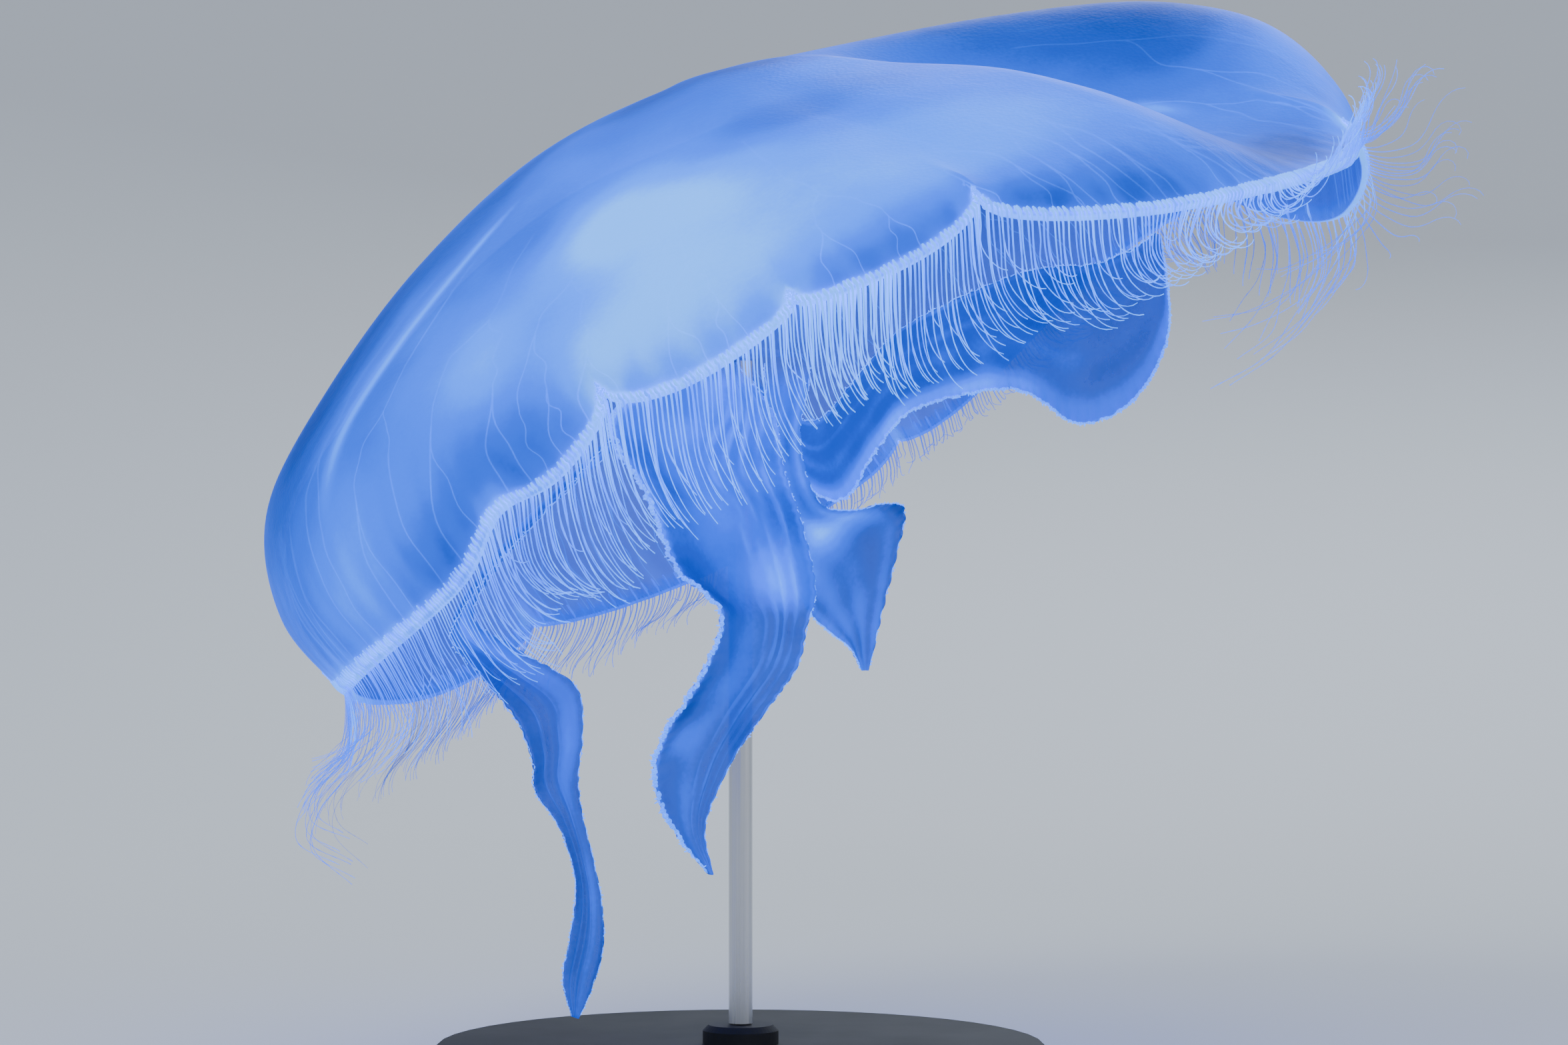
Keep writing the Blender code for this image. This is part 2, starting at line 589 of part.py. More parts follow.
def arm_section(edges, share):
    """Both sides of an arm's section at a share of its length: a loop round the ribbon."""
    left = curve_through([Vector(pair[0]) for pair in edges], share)
    right = curve_through([Vector(pair[1]) for pair in edges], share)
    step = 0.01
    low, high = max(share - step, 0.0), min(share + step, 1.0)
    along = sum((curve_through([Vector(pair[side]) for pair in edges], high)
                 - curve_through([Vector(pair[side]) for pair in edges], low)
                 for side in (0, 1)), Vector())
    across = right - left
    facing = across.cross(along).normalized()
    front, back = [], []
    for strip in range(ARM_STRIPS + 1):
        place = strip / ARM_STRIPS
        bulge = math.sin(math.pi * place)
        thick = ARM_EDGE_THICKNESS + (ARM_THICKNESS - ARM_EDGE_THICKNESS) * bulge
        thick = min(thick, ARM_NARROW_SHARE * across.length + ARM_POINT_THICKNESS)
        middle = left + across * place + facing * across.length * ARM_BOW * bulge
        front.append(middle + facing * thick * 0.5)
        back.append(middle - facing * thick * 0.5)
    return front + back[::-1]


def make_arm(name, edges, material):
    """An oral arm in three lengths: a bowed ribbon with thin edges."""
    starts = (0.0, *ARM_CUTS)
    ends = (*ARM_CUTS, 1.0)
    length = sum((Vector(b[0]) - Vector(a[0])).length for a, b in zip(edges, edges[1:]))
    half_gap = 0.75 * GAP / length
    for part, start, end in zip(ARM_PARTS, starts, ends):
        start = start + half_gap if start > 0.0 else 0.0
        end = end - half_gap if end < 1.0 else 1.0
        solid = bmesh.new()
        loft(solid, [arm_section(edges, start + (end - start) * step / ARM_LENGTHS)
                     for step in range(ARM_LENGTHS + 1)])
        add_object(f"{name}_{part}", solid, material)


# ---------------------------------------------------------------- the stand
def turned(profile, sides):
    """A closed body turned round the Z axis from (radius, height) points, top to bottom."""
    solid = bmesh.new()
    rows = []
    for radius, height in profile:
        rows.append([solid.verts.new((radius * math.cos(math.tau * side / sides),
                                      radius * math.sin(math.tau * side / sides), height))
                     for side in range(sides)])
    for first, second in zip(rows, rows[1:]):
        join_rows(solid, first, second, True)
    solid.faces.new(rows[0])
    solid.faces.new(rows[-1])
    return solid


def make_stand(base_material, rod_material):
    """A flat round base with a small boss, and one slim rod up to the mouth."""
    top = STAND_THICKNESS + BOSS_HEIGHT
    base = turned(((BOSS_RADIUS - STAND_BEVEL, top), (BOSS_RADIUS, top - STAND_BEVEL),
                   (BOSS_RADIUS, STAND_THICKNESS), (STAND_RADIUS - STAND_BEVEL, STAND_THICKNESS),
                   (STAND_RADIUS, STAND_THICKNESS - STAND_BEVEL), (STAND_RADIUS, 0.0)),
                  BASE_SIDES)
    add_object("stand_base", base, base_material, 30.0)
    rod_top = MOUTH.z - GAP
    rod = turned(((ROD_TIP_RADIUS, rod_top), (ROD_RADIUS, rod_top - ROD_TIP_LENGTH),
                  (ROD_RADIUS, top + GAP)), ROD_SIDES)
    add_object("stand_rod", rod, rod_material, 30.0)


def main():
    clear_scene()
    jelly = make_material("bell_jelly", (0.12, 0.28, 0.85), 0.25, alpha=0.6)
    margin = make_material("margin_tissue", (0.30, 0.50, 0.95), 0.35)
    gonad = make_material("gonad_tissue", (0.45, 0.65, 1.0), 0.5)
    arm = make_material("arm_tissue", (0.10, 0.24, 0.75), 0.3, alpha=0.8)
    black = make_material("stand_black", (0.02, 0.02, 0.022), 0.4)
    steel = make_material("stand_steel", (0.62, 0.62, 0.62), 0.3, metallic=1.0)
    make_crown(jelly)
    for lobe, notch in enumerate(NOTCHES):
        make_lobe(lobe, jelly)
        make_fringe(lobe, margin)
        make_rhopalium(lobe + 1, notch[0], margin)
    for number, azimuth in enumerate(GONAD_AZIMUTHS, 1):
        make_gonad(number, azimuth, gonad)
    make_manubrium(arm)
    for name, edges in ARM_EDGES.items():
        make_arm(name, edges, arm)
    make_stand(black, steel)


main()
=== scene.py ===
"""Looks of the moon jellyfish model, its light and its camera.

Metres, +Z up.  The bell is first thought of upright, then banked.  Azimuth runs round it in
degrees, 0 towards -Y and 90 towards +X; "down" is a share of the way along its skin, 0 at the
crown and 1 at the margin.
"""
import math

import bpy
import numpy as np
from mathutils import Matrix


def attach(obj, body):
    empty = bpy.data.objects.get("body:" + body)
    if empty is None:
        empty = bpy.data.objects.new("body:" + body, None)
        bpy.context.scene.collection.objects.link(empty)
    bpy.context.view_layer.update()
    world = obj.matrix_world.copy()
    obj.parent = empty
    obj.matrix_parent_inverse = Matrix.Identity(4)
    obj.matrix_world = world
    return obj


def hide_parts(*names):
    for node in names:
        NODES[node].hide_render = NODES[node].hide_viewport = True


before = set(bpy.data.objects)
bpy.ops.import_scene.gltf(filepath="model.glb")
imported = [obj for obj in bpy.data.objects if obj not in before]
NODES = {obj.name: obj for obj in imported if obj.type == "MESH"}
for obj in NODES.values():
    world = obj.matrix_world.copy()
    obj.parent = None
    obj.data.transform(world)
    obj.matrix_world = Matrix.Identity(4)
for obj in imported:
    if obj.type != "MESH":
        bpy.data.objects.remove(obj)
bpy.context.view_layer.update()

MILLIMETRE = 0.001
NOISE_PRIMES = (73856093, 19349663)
LOW_BITS = 0xFFFFFFFF


# ---------------- small helpers
def smooth_step(value):
    """0 below 0, 1 above 1, and an easy rise between them."""
    value = np.clip(value, 0, 1)
    return value * value * (3 - 2 * value)


def bump_of(value, middle, width):
    """1 at the middle, falling off on both sides over the width."""
    return np.exp(-((value - middle) / width) ** 2)


def turn_between(azimuth, other):
    """Signed difference of azimuths, from -180 to 180 degrees."""
    return (azimuth - other + 180) % 360 - 180


def bump_at(azimuth, middle, width):
    """1 at an azimuth, falling off on both sides."""
    return bump_of(turn_between(azimuth, middle), 0, width)


def unit(vectors):
    """Vectors scaled to length 1."""
    return vectors / np.maximum(np.linalg.norm(vectors, axis=-1, keepdims=True), 1e-12)


def rotation(axis, angle):
    """A 3 x 3 rotation about the X or Y axis."""
    c, s = math.cos(angle), math.sin(angle)
    if axis == "X":
        return np.array(((1, 0, 0), (0, c, -s), (0, s, c)))
    return np.array(((c, 0, s), (0, 1, 0), (-s, 0, c)))


def run_along(line):
    """Distance along a line of points, for each point."""
    return np.concatenate(((0,), np.cumsum(np.linalg.norm(np.diff(line, axis=0), axis=1))))


def value_noise(points, size, seed):
    """Smooth noise from -1 to 1 over a plane, the same in each run."""
    place = np.asarray(points, float) / size
    cell = np.floor(place).astype(np.int64)
    step = place - cell
    step = step * step * (3 - 2 * step)
    total = 0
    for corner in np.array(((0, 0), (0, 1), (1, 0), (1, 1))):
        hashed = seed
        for axis, prime in enumerate(NOISE_PRIMES):
            hashed = (hashed ^ ((cell + corner)[..., axis] * prime)) & LOW_BITS
            hashed = (hashed * 1103515245 + 12345) & LOW_BITS
        weight = np.prod(np.where(corner == 1, step, 1 - step), axis=-1)
        total = total + weight * ((hashed >> 8) & 0xFFFF) / 32767.5
    return total - 1


def line_noise(run, row, size, seed):
    """value_noise along one row of its lattice."""
    return value_noise(np.stack((run, np.full(len(run), row)), -1), size, seed)


def curve_through(points, share, before=None):
    """Points on Catmull-Rom curves; points is (..., n, k) and share has the leading shape."""
    points, share = np.asarray(points, float), np.asarray(share, float)
    if before is None:
        before = 2 * points[..., 0, :] - points[..., 1, :]
    after = 2 * points[..., -1, :] - points[..., -2, :]
    points = np.concatenate((before[..., None, :], points, after[..., None, :]), axis=-2)
    last = points.shape[-2] - 3
    place = np.clip(share, 0, 1) * last
    first = np.minimum(place.astype(int), last - 1)
    step = (place - first)[..., None]
    source = np.broadcast_to(points, first.shape + points.shape[-2:])

    def taken(offset):
        index = np.broadcast_to((first + offset)[..., None, None],
                                first.shape + (1, points.shape[-1]))
        return np.take_along_axis(source, index, axis=-2)[..., 0, :]

    behind, start, end, ahead = (taken(offset) for offset in range(4))
    return 0.5 * (2 * start + (end - behind) * step
                  + (2 * behind - 5 * start + 4 * end - ahead) * step ** 2
                  + (3 * start - behind - 3 * end + ahead) * step ** 3)


def turning_table(rows):
    """Azimuths and values of some rows; the first comes again after a full turn."""
    rows = (*rows, (rows[0][0] + 360, *rows[0][1:]))
    return np.array([row[0] for row in rows]), np.array([row[1:] for row in rows])


def blended(table, azimuth):
    """Values of a turning table at some azimuths, eased from row to row."""
    stops, values = table
    place = (np.asarray(azimuth, float) + 90) % 360 - 90
    first = np.clip(np.searchsorted(stops, place, side="right") - 1, 0, len(stops) - 2)
    share = smooth_step((place - stops[first]) / (stops[first + 1] - stops[first]))
    share = share.reshape(share.shape + (1,) * (values.ndim - 1))
    return values[first] * (1 - share) + values[first + 1] * share


# ---------------- the bell, as the solids have it
BELL_RADIUS = 0.1215
BELL_CENTRE = np.array((0.023, 0, 0.1383))
BANK_LEFT = math.radians(28)
LEAN_BACK = math.radians(8)
BANK = rotation("Y", -BANK_LEFT) @ rotation("X", -LEAN_BACK)
JELLY_AT_CROWN = 0.013
JELLY_AT_MARGIN = 0.0022
JELLY_TAPER = 1.1
MOUTH = np.array((0, 0, 0.151))

# Half sections: azimuth, then radii and heights from crown to margin, in bell radii.
SECTIONS = turning_table((
    (-90, (0, 0.28, 0.56, 0.8, 0.985, 1.04, 1), (0.662, 0.658, 0.572, 0.445, 0.305, 0.155, 0)),
    (0, (0, 0.27, 0.5, 0.72, 0.9, 1, 1), (0.662, 0.59, 0.455, 0.315, 0.185, 0.08, 0)),
    (42, (0, 0.27, 0.49, 0.69, 0.85, 0.96, 1), (0.662, 0.575, 0.44, 0.315, 0.175, 0.065, 0)),
    (65, (0, 0.26, 0.44, 0.6, 0.76, 0.91, 1), (0.662, 0.572, 0.385, 0.245, 0.12, 0.04, 0)),
    (103, (0, 0.28, 0.57, 0.84, 1.01, 1.06, 1), (0.662, 0.608, 0.535, 0.435, 0.305, 0.155, 0)),
    (143, (0, 0.28, 0.565, 0.83, 0.985, 1.045, 1.02),
     (0.662, 0.636, 0.56, 0.455, 0.35, 0.25, 0.15)),
    (180, (0, 0.28, 0.56, 0.82, 0.98, 1.03, 1), (0.662, 0.658, 0.575, 0.45, 0.31, 0.155, 0)),
))
# Notches of the margin: azimuth, height, depth and half width in degrees of the furrow above.
NOTCHES = (
    (-85, -0.002, 0.001, 8),
    (-20, 0.008, 0.0012, 5),
    (-1, 0.0052, 0.0008, 5),
    (18, 0.0078, 0.0012, 5),
    (80, 0.0015, 0.001, 8),
    (125, 0.009, 0.002, 9),
    (175, 0.008, 0.002, 9),
    (225, 0.006, 0.002, 9),
)
LOBE_LOWS = (-0.0085, 0.001, 0.0015, -0.011, -0.0075, 0, 0, -0.004)
CREASE_AZIMUTH, CREASE_WIDTH, CREASE_RISE = -35, 5, 0.005
FURROW_START, FURROW_FULL = 0.15, 0.6
FURROW_EASES, FURROW_EASED_BY = 0.7, 0.55
FURROW_INWARDS, FURROW_DOWNWARDS = 0.75, 0.66
SCALLOP_START, SCALLOP_FULLNESS = 0.62, 0.55


def lobe_span(lobe):
    """First and last azimuth of a lobe, the last one the larger."""
    start = NOTCHES[lobe][0]
    return start, start + (NOTCHES[(lobe + 1) % len(NOTCHES)][0] - start) % 360


def margin_height(azimuth):
    """Height of the margin: high at notches, low along lobes."""
    height = np.zeros(azimuth.shape)
    for lobe, low in enumerate(LOBE_LOWS):
        start, end = lobe_span(lobe)
        share = ((azimuth - start) % 360) / (end - start)
        inside = share <= 1
        share = np.where(inside, share, 0)
        first, last = NOTCHES[lobe][1], NOTCHES[(lobe + 1) % len(NOTCHES)][1]
        straight = first + (last - first) * smooth_step(share)
        sag = np.sin(math.pi * share).clip(0, 1) ** SCALLOP_FULLNESS
        height = np.where(inside, straight + (low - straight) * sag, height)
    return height + CREASE_RISE * bump_at(azimuth, CREASE_AZIMUTH, CREASE_WIDTH)


def furrow_depth(azimuth, down):
    """How far the notches' furrows press the bell in."""
    press = smooth_step((down - FURROW_START) / (FURROW_FULL - FURROW_START))
    eased = smooth_step((down - FURROW_EASES) / (1 - FURROW_EASES))
    press = press * (1 - FURROW_EASED_BY * eased)
    total = 0
    for middle, _, depth, width in NOTCHES:
        total = total + depth * bump_at(azimuth, middle, width)
    return total * press


def upright_point(azimuth, down):
    """Points of the outer skin of the upright bell."""
    azimuth, down = np.broadcast_arrays(np.asarray(azimuth, float), np.asarray(down, float))
    behind = blended(SECTIONS, azimuth + 180)[..., 1] * np.array((-1, 1))
    stations = np.swapaxes(blended(SECTIONS, azimuth), -1, -2)
    section = curve_through(stations, down, behind) * BELL_RADIUS
    press = furrow_depth(azimuth, down)
    radius = section[..., 0] - FURROW_INWARDS * press
    height = section[..., 1] - FURROW_DOWNWARDS * press
    low = smooth_step((down - SCALLOP_START) / (1 - SCALLOP_START))
    height = height + margin_height(azimuth) * low
    angle = np.radians(azimuth)
    return np.stack((radius * np.sin(angle), -radius * np.cos(angle), height), axis=-1)


def upright_normal(azimuth, down):
    """Outward directions of the upright bell's skin."""
    azimuth, down = np.broadcast_arrays(np.asarray(azimuth, float), np.asarray(down, float))
    step, turn = 0.01, 1.5
    along = (upright_point(azimuth, np.minimum(down + step, 1))
             - upright_point(azimuth, np.maximum(down - step, 0)))
    around = upright_point(azimuth + turn, down) - upright_point(azimuth - turn, down)
    front, right, back, left = upright_point(np.array((0, 90, 180, -90)), step)
    top = unit(np.cross(right - left, back - front))
    return np.where((down < 2 * step)[..., None], top, unit(np.cross(along, around)))


def jelly_thickness(down):
    """Thickness of the bell."""
    return JELLY_AT_MARGIN + (JELLY_AT_CROWN - JELLY_AT_MARGIN) * (1 - down) ** JELLY_TAPER


def bell_point(azimuth, down, depth=0):
    """Points of the banked bell, depth metres under its outer skin."""
    depth = np.asarray(depth, float)[..., None]
    point = upright_point(azimuth, down) - upright_normal(azimuth, down) * depth
    return point @ BANK.T + BELL_CENTRE


def inner_point(azimuth, down, clear=0):
    """Points on the bell's inner skin, or clear metres below it."""
    return bell_point(azimuth, down, jelly_thickness(down) + clear)


def above_margin(azimuth):
    """The middle of the jelly just above the margin."""
    return 0.5 * (bell_point(azimuth, 0.98) + inner_point(azimuth, 0.98))


def margin_frame(azimuth):
    """Middle of the margin's edge with its downward and outward directions."""
    outer, inner = bell_point(azimuth, 1), inner_point(azimuth, 1)
    edge = 0.5 * (outer + inner)
    return edge, unit(edge - above_margin(azimuth)), unit(outer - inner)


# ---------------- meshes from arrays
def in_scene(name, data):
    """A new object of a mesh, a lamp or a lens, in the scene."""
    made = bpy.data.objects.new(name, data)
    bpy.context.scene.collection.objects.link(made)
    return made


def smooth_mesh(name, points, faces, material):
    """A smooth mesh in the scene; faces is a list of arrays of faces of one size."""
    mesh = bpy.data.meshes.new(name)
    sizes = np.concatenate([np.full(len(part), part.shape[1]) for part in faces])
    corners = np.concatenate([part.ravel() for part in faces]).astype(np.int32)
    mesh.vertices.add(len(points))
    mesh.vertices.foreach_set("co", np.asarray(points, np.float32).ravel())
    mesh.loops.add(len(corners))
    mesh.loops.foreach_set("vertex_index", corners)
    mesh.polygons.add(len(sizes))
    mesh.polygons.foreach_set("loop_start", (np.cumsum(sizes) - sizes).astype(np.int32))
    mesh.update(calc_edges=True)
    mesh.materials.append(material)
    mesh.shade_smooth()
    mesh.validate()
    return in_scene(name, mesh)


def add_piece(name, points, faces, material, replaced, tone, veil, uv=None):
    """A piece on the root body that replaces some nodes.

    tone and veil are numbers, or have one for each vertex; uv has a place for each.
    """
    piece = smooth_mesh(name, points, faces, material)
    for key, numbers in (("tone", tone), ("veil", veil)):
        layer = piece.data.attributes.new(key, "FLOAT", "POINT")
        numbers = np.broadcast_to(np.asarray(numbers, np.float32).ravel(), len(points))
        layer.data.foreach_set("value", np.ascontiguousarray(numbers))
    if uv is not None:
        corners = np.concatenate([part.ravel() for part in faces])
        layer = piece.data.uv_layers.new(name="OFBake")
        uv = np.asarray(uv, np.float32).reshape(-1, 2)
        layer.data.foreach_set("uv", uv[corners].ravel())
    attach(piece, "root")
    if replaced:
        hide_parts(*replaced)


def ring_faces(rings, sides):
    """Quads between closed rings of vertices."""
    ring = np.arange(rings - 1)[:, None] * sides
    side = np.arange(sides)
    after = (side + 1) % sides
    corners = (ring + side, ring + after, ring + sides + after, ring + sides + side)
    return np.stack(corners, axis=-1).reshape(-1, 4)


def end_faces(rings, sides):
    """The two faces that close the first and the last ring."""
    side = np.arange(sides)
    return np.stack((side[::-1], (rings - 1) * sides + side))


def fan_faces(centre, ring, turned=False):
    """Triangles from one vertex to a closed ring of vertices."""
    after = np.roll(ring, -1)
    pair = (after, ring) if turned else (ring, after)
    return np.stack((np.full(len(ring), centre), *pair), axis=-1)


def fanned_faces(rings, sides):
    """Quads between rings, and fans to their ends from the two vertices after them."""
    count, ring = rings * sides, np.arange(sides)
    return [ring_faces(rings, sides)[:, ::-1], fan_faces(count, ring),
            fan_faces(count + 1, count - sides + ring, True)]


# ---------------- the bell's skin
BELL_COLUMNS = 720
OUTER_ROWS = 72
INNER_ROWS = 40
ROW_BIAS = 0.92
LIP_ROWS = 3
LIP_BULGE = 0.00045
SKIN_INSET = 0.00012
RIPPLE_DEPTH = 0.00012
FLUTE_DEPTH = 0.00009
FLUTES = 96

# Pale and dark places of the bell, partly its milky organs seen through the jelly and partly
# painted light and painted shade: azimuth, share down, half widths of both, and how much paler
# (or, below 0, darker) the jelly is there.
TONE_AND_PAINTED_LIGHT_PATCHES = (
    (-9, 0.47, 17, 0.11, 0.32), (-20, 0.45, 7, 0.08, 0.26), (-12, 0.8, 14, 0.28, 0.36),
    (-6, 0.66, 26, 0.22, 0.15), (-33, 0.65, 5, 0.1, 0.26), (-20, 0.84, 3.5, 0.14, 0.16),
    (22, 0.66, 24, 0.17, 0.26), (9, 0.39, 12, 0.06, -0.2), (-33, 0.42, 8, 0.07, -0.12),
    (-28, 0.88, 6.5, 0.12, -0.26), (-42, 0.93, 8, 0.08, -0.22), (-55, 0.88, 10, 0.1, 0.22),
    (-53, 0.76, 13, 0.07, 0.08), (-42, 0.62, 7, 0.12, 0.05), (-35, 0.97, 2, 0.05, 0.26),
    (-74, 0.99, 8, 0.04, 0.26), (-65, 0.54, 8, 0.24, -0.44), (-53, 0.28, 11, 0.13, -0.26),
    (-76, 0.62, 9, 0.3, -0.18), (-49, 0.64, 4, 0.1, -0.08), (-40, 0.24, 12, 0.1, 0.06),
    (-16, 0.13, 38, 0.08, -0.3), (33, 0.16, 20, 0.07, -0.26), (40, 0.26, 16, 0.07, 0.1),
    (24, 0.91, 4, 0.1, -0.28), (34, 0.9, 6, 0.12, -0.28), (9, 0.92, 7, 0.1, -0.14),
    (60, 0.86, 11, 0.09, -0.32), (96, 0.74, 14, 0.16, 0.14), (150, 0.42, 45, 0.24, -0.34),
    (104, 0.34, 28, 0.2, -0.3), (122, 0.52, 20, 0.12, -0.18), (88, 0.53, 9, 0.11, -0.28),
    (69, 0.82, 6, 0.08, -0.16), (82, 0.92, 6, 0.06, 0.2), (74, 0.6, 1.2, 0.035, 0.3),
    (180, 0.86, 30, 0.12, -0.1), (222, 0.66, 18, 0.16, 0.06),
)
# One bright streak inside the left wall, as (azimuth, share down) from its top to its end.
STREAK = ((-42, 0.28), (-46, 0.4), (-50, 0.5), (-53, 0.62), (-57, 0.78))
STREAK_WIDTH = 0.0022
STREAK_TONE = 0.26
BASE_TONE = 0.5
# How much darker the inner side is: painted shade under the bell.
INNER_PAINTED_SHADE = 0.36
RIM_START = 0.955
RIM_TONE = 0.38
NOTCH_TONE = 0.26
NOTCH_LINE_TONE = 0.5


def bell_tone_and_painted_light(azimuth, down):
    """How pale the bell is, from 0, deep blue, to 1; its patches add painted light and painted
    shade.
    """
    tone = np.full(azimuth.shape, BASE_TONE)
    # Patches of milky organs, painted light and painted shade.
    for middle, level, wide, tall, amount in TONE_AND_PAINTED_LIGHT_PATCHES:
        reach = (turn_between(azimuth, middle) / wide) ** 2 + ((down - level) / tall) ** 2
        tone = tone + amount * np.exp(-reach)
    for middle, _, _, width in NOTCHES:
        near = bump_at(azimuth, middle, width * 0.34)
        tone = tone + NOTCH_TONE * near * smooth_step((down - 0.8) / 0.2)
        line = bump_at(azimuth, middle, 0.5)
        tone = tone + NOTCH_LINE_TONE * line * smooth_step((down - 0.93) / 0.03)
    return tone


def streak_share(azimuth, down):
    """1 on the streak in the left wall, falling off to its sides and ends."""
    total = np.zeros(azimuth.shape)
    for (first, top), (second, low) in zip(STREAK, STREAK[1:]):
        share = np.clip((down - top) / (low - top), 0, 1)
        middle = first + (second - first) * share
        across = np.radians(turn_between(azimuth, middle)) * BELL_RADIUS
        halo = np.where(across < 0, across / 0.006, across / 0.002)
        bright = np.exp(-(across / STREAK_WIDTH) ** 2) + 0.45 * np.exp(-halo ** 2)
        total = np.where((down >= top) & (down <= low), bright, total)
    return total * (smooth_step((down - STREAK[0][1]) / 0.1)
                    * smooth_step((STREAK[-1][1] - down) / 0.14))


def make_bell_skin(material):
    """The whole bell as one closed skin: outer side, rounded lip and inner side."""
    azimuth = np.arange(BELL_COLUMNS) * 360 / BELL_COLUMNS
    outer_down = np.linspace(0, 1, OUTER_ROWS + 1)[1:] ** ROW_BIAS
    inner_down = np.linspace(0, 1, INNER_ROWS + 1)[:0:-1] ** ROW_BIAS
    turn, level = np.meshgrid(azimuth, outer_down)
    inner_turn, inner_level = np.meshgrid(azimuth, inner_down)
    # Fine flutes run down the outer side to the margin, faintly paler on their crests.
    ripple = value_noise(np.stack((turn * 0.35, level * 6), axis=-1), 1, 3)
    flutes = np.sin(np.radians(turn) * FLUTES + 2.5 * ripple) * smooth_step((level - 0.7) / 0.3)
    rippled = RIPPLE_DEPTH * (1 + ripple) * smooth_step((level - 0.5) / 0.5)
    normal = upright_normal(turn, level) @ BANK.T
    outer = bell_point(turn, level, SKIN_INSET) - normal * rippled[..., None]
    outer = outer - normal * (FLUTE_DEPTH * (1 + flutes))[..., None]
    inner = inner_point(inner_turn, inner_level, -SKIN_INSET)
    middle, half = 0.5 * (outer[-1] + inner[0]), 0.5 * (outer[-1] - inner[0])
    downward = unit(middle - above_margin(azimuth))
    angle = (math.pi * np.arange(1, LIP_ROWS + 1) / (LIP_ROWS + 1))[:, None, None]
    lip = middle + half * np.cos(angle) + downward * (LIP_BULGE * np.sin(angle))
    rows = np.concatenate((outer, lip, inner))
    points = np.concatenate((rows.reshape(-1, 3), bell_point(0, 0, SKIN_INSET)[None],
                             inner_point(0, 0, -SKIN_INSET)[None]))
    rim = smooth_step((level - RIM_START) / (1 - RIM_START))
    tone = bell_tone_and_painted_light(turn, level) + STREAK_TONE * streak_share(turn, level) + 0.05 * flutes
    # Painted shade dulls the pale margin band on the bell's far half.
    tone = tone + RIM_TONE * rim * (1 - 0.7 * far_shade_share(turn))
    # The inner side is darker: painted shade under the bell.
    inner_tone = BASE_TONE - INNER_PAINTED_SHADE + 0.4 * (bell_tone_and_painted_light(inner_turn, inner_level) - BASE_TONE)
    # The lip is pale, with painted shade on its far half.
    lip_tone = np.ones((LIP_ROWS, 1)) * (0.94 - 0.45 * far_shade_share(azimuth))
    tones = np.concatenate((tone, lip_tone, inner_tone)).ravel()
    # Very pale and very deep jelly hides more of what is behind it.
    veil = 0.7 + 0.32 * np.abs(tone - BASE_TONE) + 0.24 * rim
    inner_veil = 0.68 + 0.2 * (inner_tone - BASE_TONE)
    veils = np.concatenate((veil, lip_tone, inner_veil)).ravel().clip(0, 1)
    reach = np.concatenate((outer_down, np.ones(LIP_ROWS), inner_down))[:, None]
    side = (np.arange(len(rows)) >= OUTER_ROWS + LIP_ROWS)[:, None]
    angle = np.radians(azimuth)
    uv = np.stack((0.25 + 0.5 * side + 0.24 * reach * np.sin(angle),
                   0.5 - 0.24 * reach * np.cos(angle)), axis=-1).reshape(-1, 2)
    add_piece("bell_skin", points, fanned_faces(len(rows), BELL_COLUMNS), material,
              ["bell_crown"] + [f"bell_lobe_{lobe + 1}" for lobe in range(len(NOTCHES))],
              np.concatenate((tones, (BASE_TONE, BASE_TONE))),
              np.concatenate((veils, (0.45, 0.3))),
              np.concatenate((uv, ((0.25, 0.5), (0.75, 0.5)))))


# ---------------- thin round strands
FIRST_UP = np.array((0, 0.35, 1))


def tubes(*sets):
    """Closed tubes along paths, from sets of (centres, radii, sides).

    centres has shape (tubes, points, 3) and radii (tubes, points).  Returns points, faces and,
    for each vertex, its tube, its share along the tube and its share round it.
    """
    points, faces, owner, share, around = [], [], [], [], []
    first_point = first_tube = 0
    for centres, radii, sides in sets:
        count, steps, _ = centres.shape
        along = unit(np.gradient(centres, axis=1))
        across = unit(np.cross(along[:, 0], FIRST_UP))
        rings = np.empty((count, steps, sides, 3))
        angle = np.arange(sides)[:, None] * math.tau / sides
        for step in range(steps):
            direction = along[:, step]
            slope = np.sum(across * direction, axis=-1, keepdims=True)
            across = unit(across - direction * slope)
            up = np.cross(direction, across)
            ring = across[:, None] * np.cos(angle) + up[:, None] * np.sin(angle)
            rings[:, step] = centres[:, step, None] + ring * radii[:, step, None, None]
        starts = first_point + (np.arange(count) * steps * sides)[:, None, None]
        for part in (ring_faces(steps, sides), end_faces(steps, sides)):
            faces.append((starts + part).reshape(-1, part.shape[1]))
        points.append(rings.reshape(-1, 3))
        owner.append(first_tube + np.repeat(np.arange(count), steps * sides))
        share.append(np.tile(np.repeat(np.linspace(0, 1, steps), sides), count))
        around.append(np.tile(np.arange(sides) / sides, count * steps))
        first_point += count * steps * sides
        first_tube += count
    return (np.concatenate(points), faces, np.concatenate(owner), np.concatenate(share),
            np.concatenate(around))


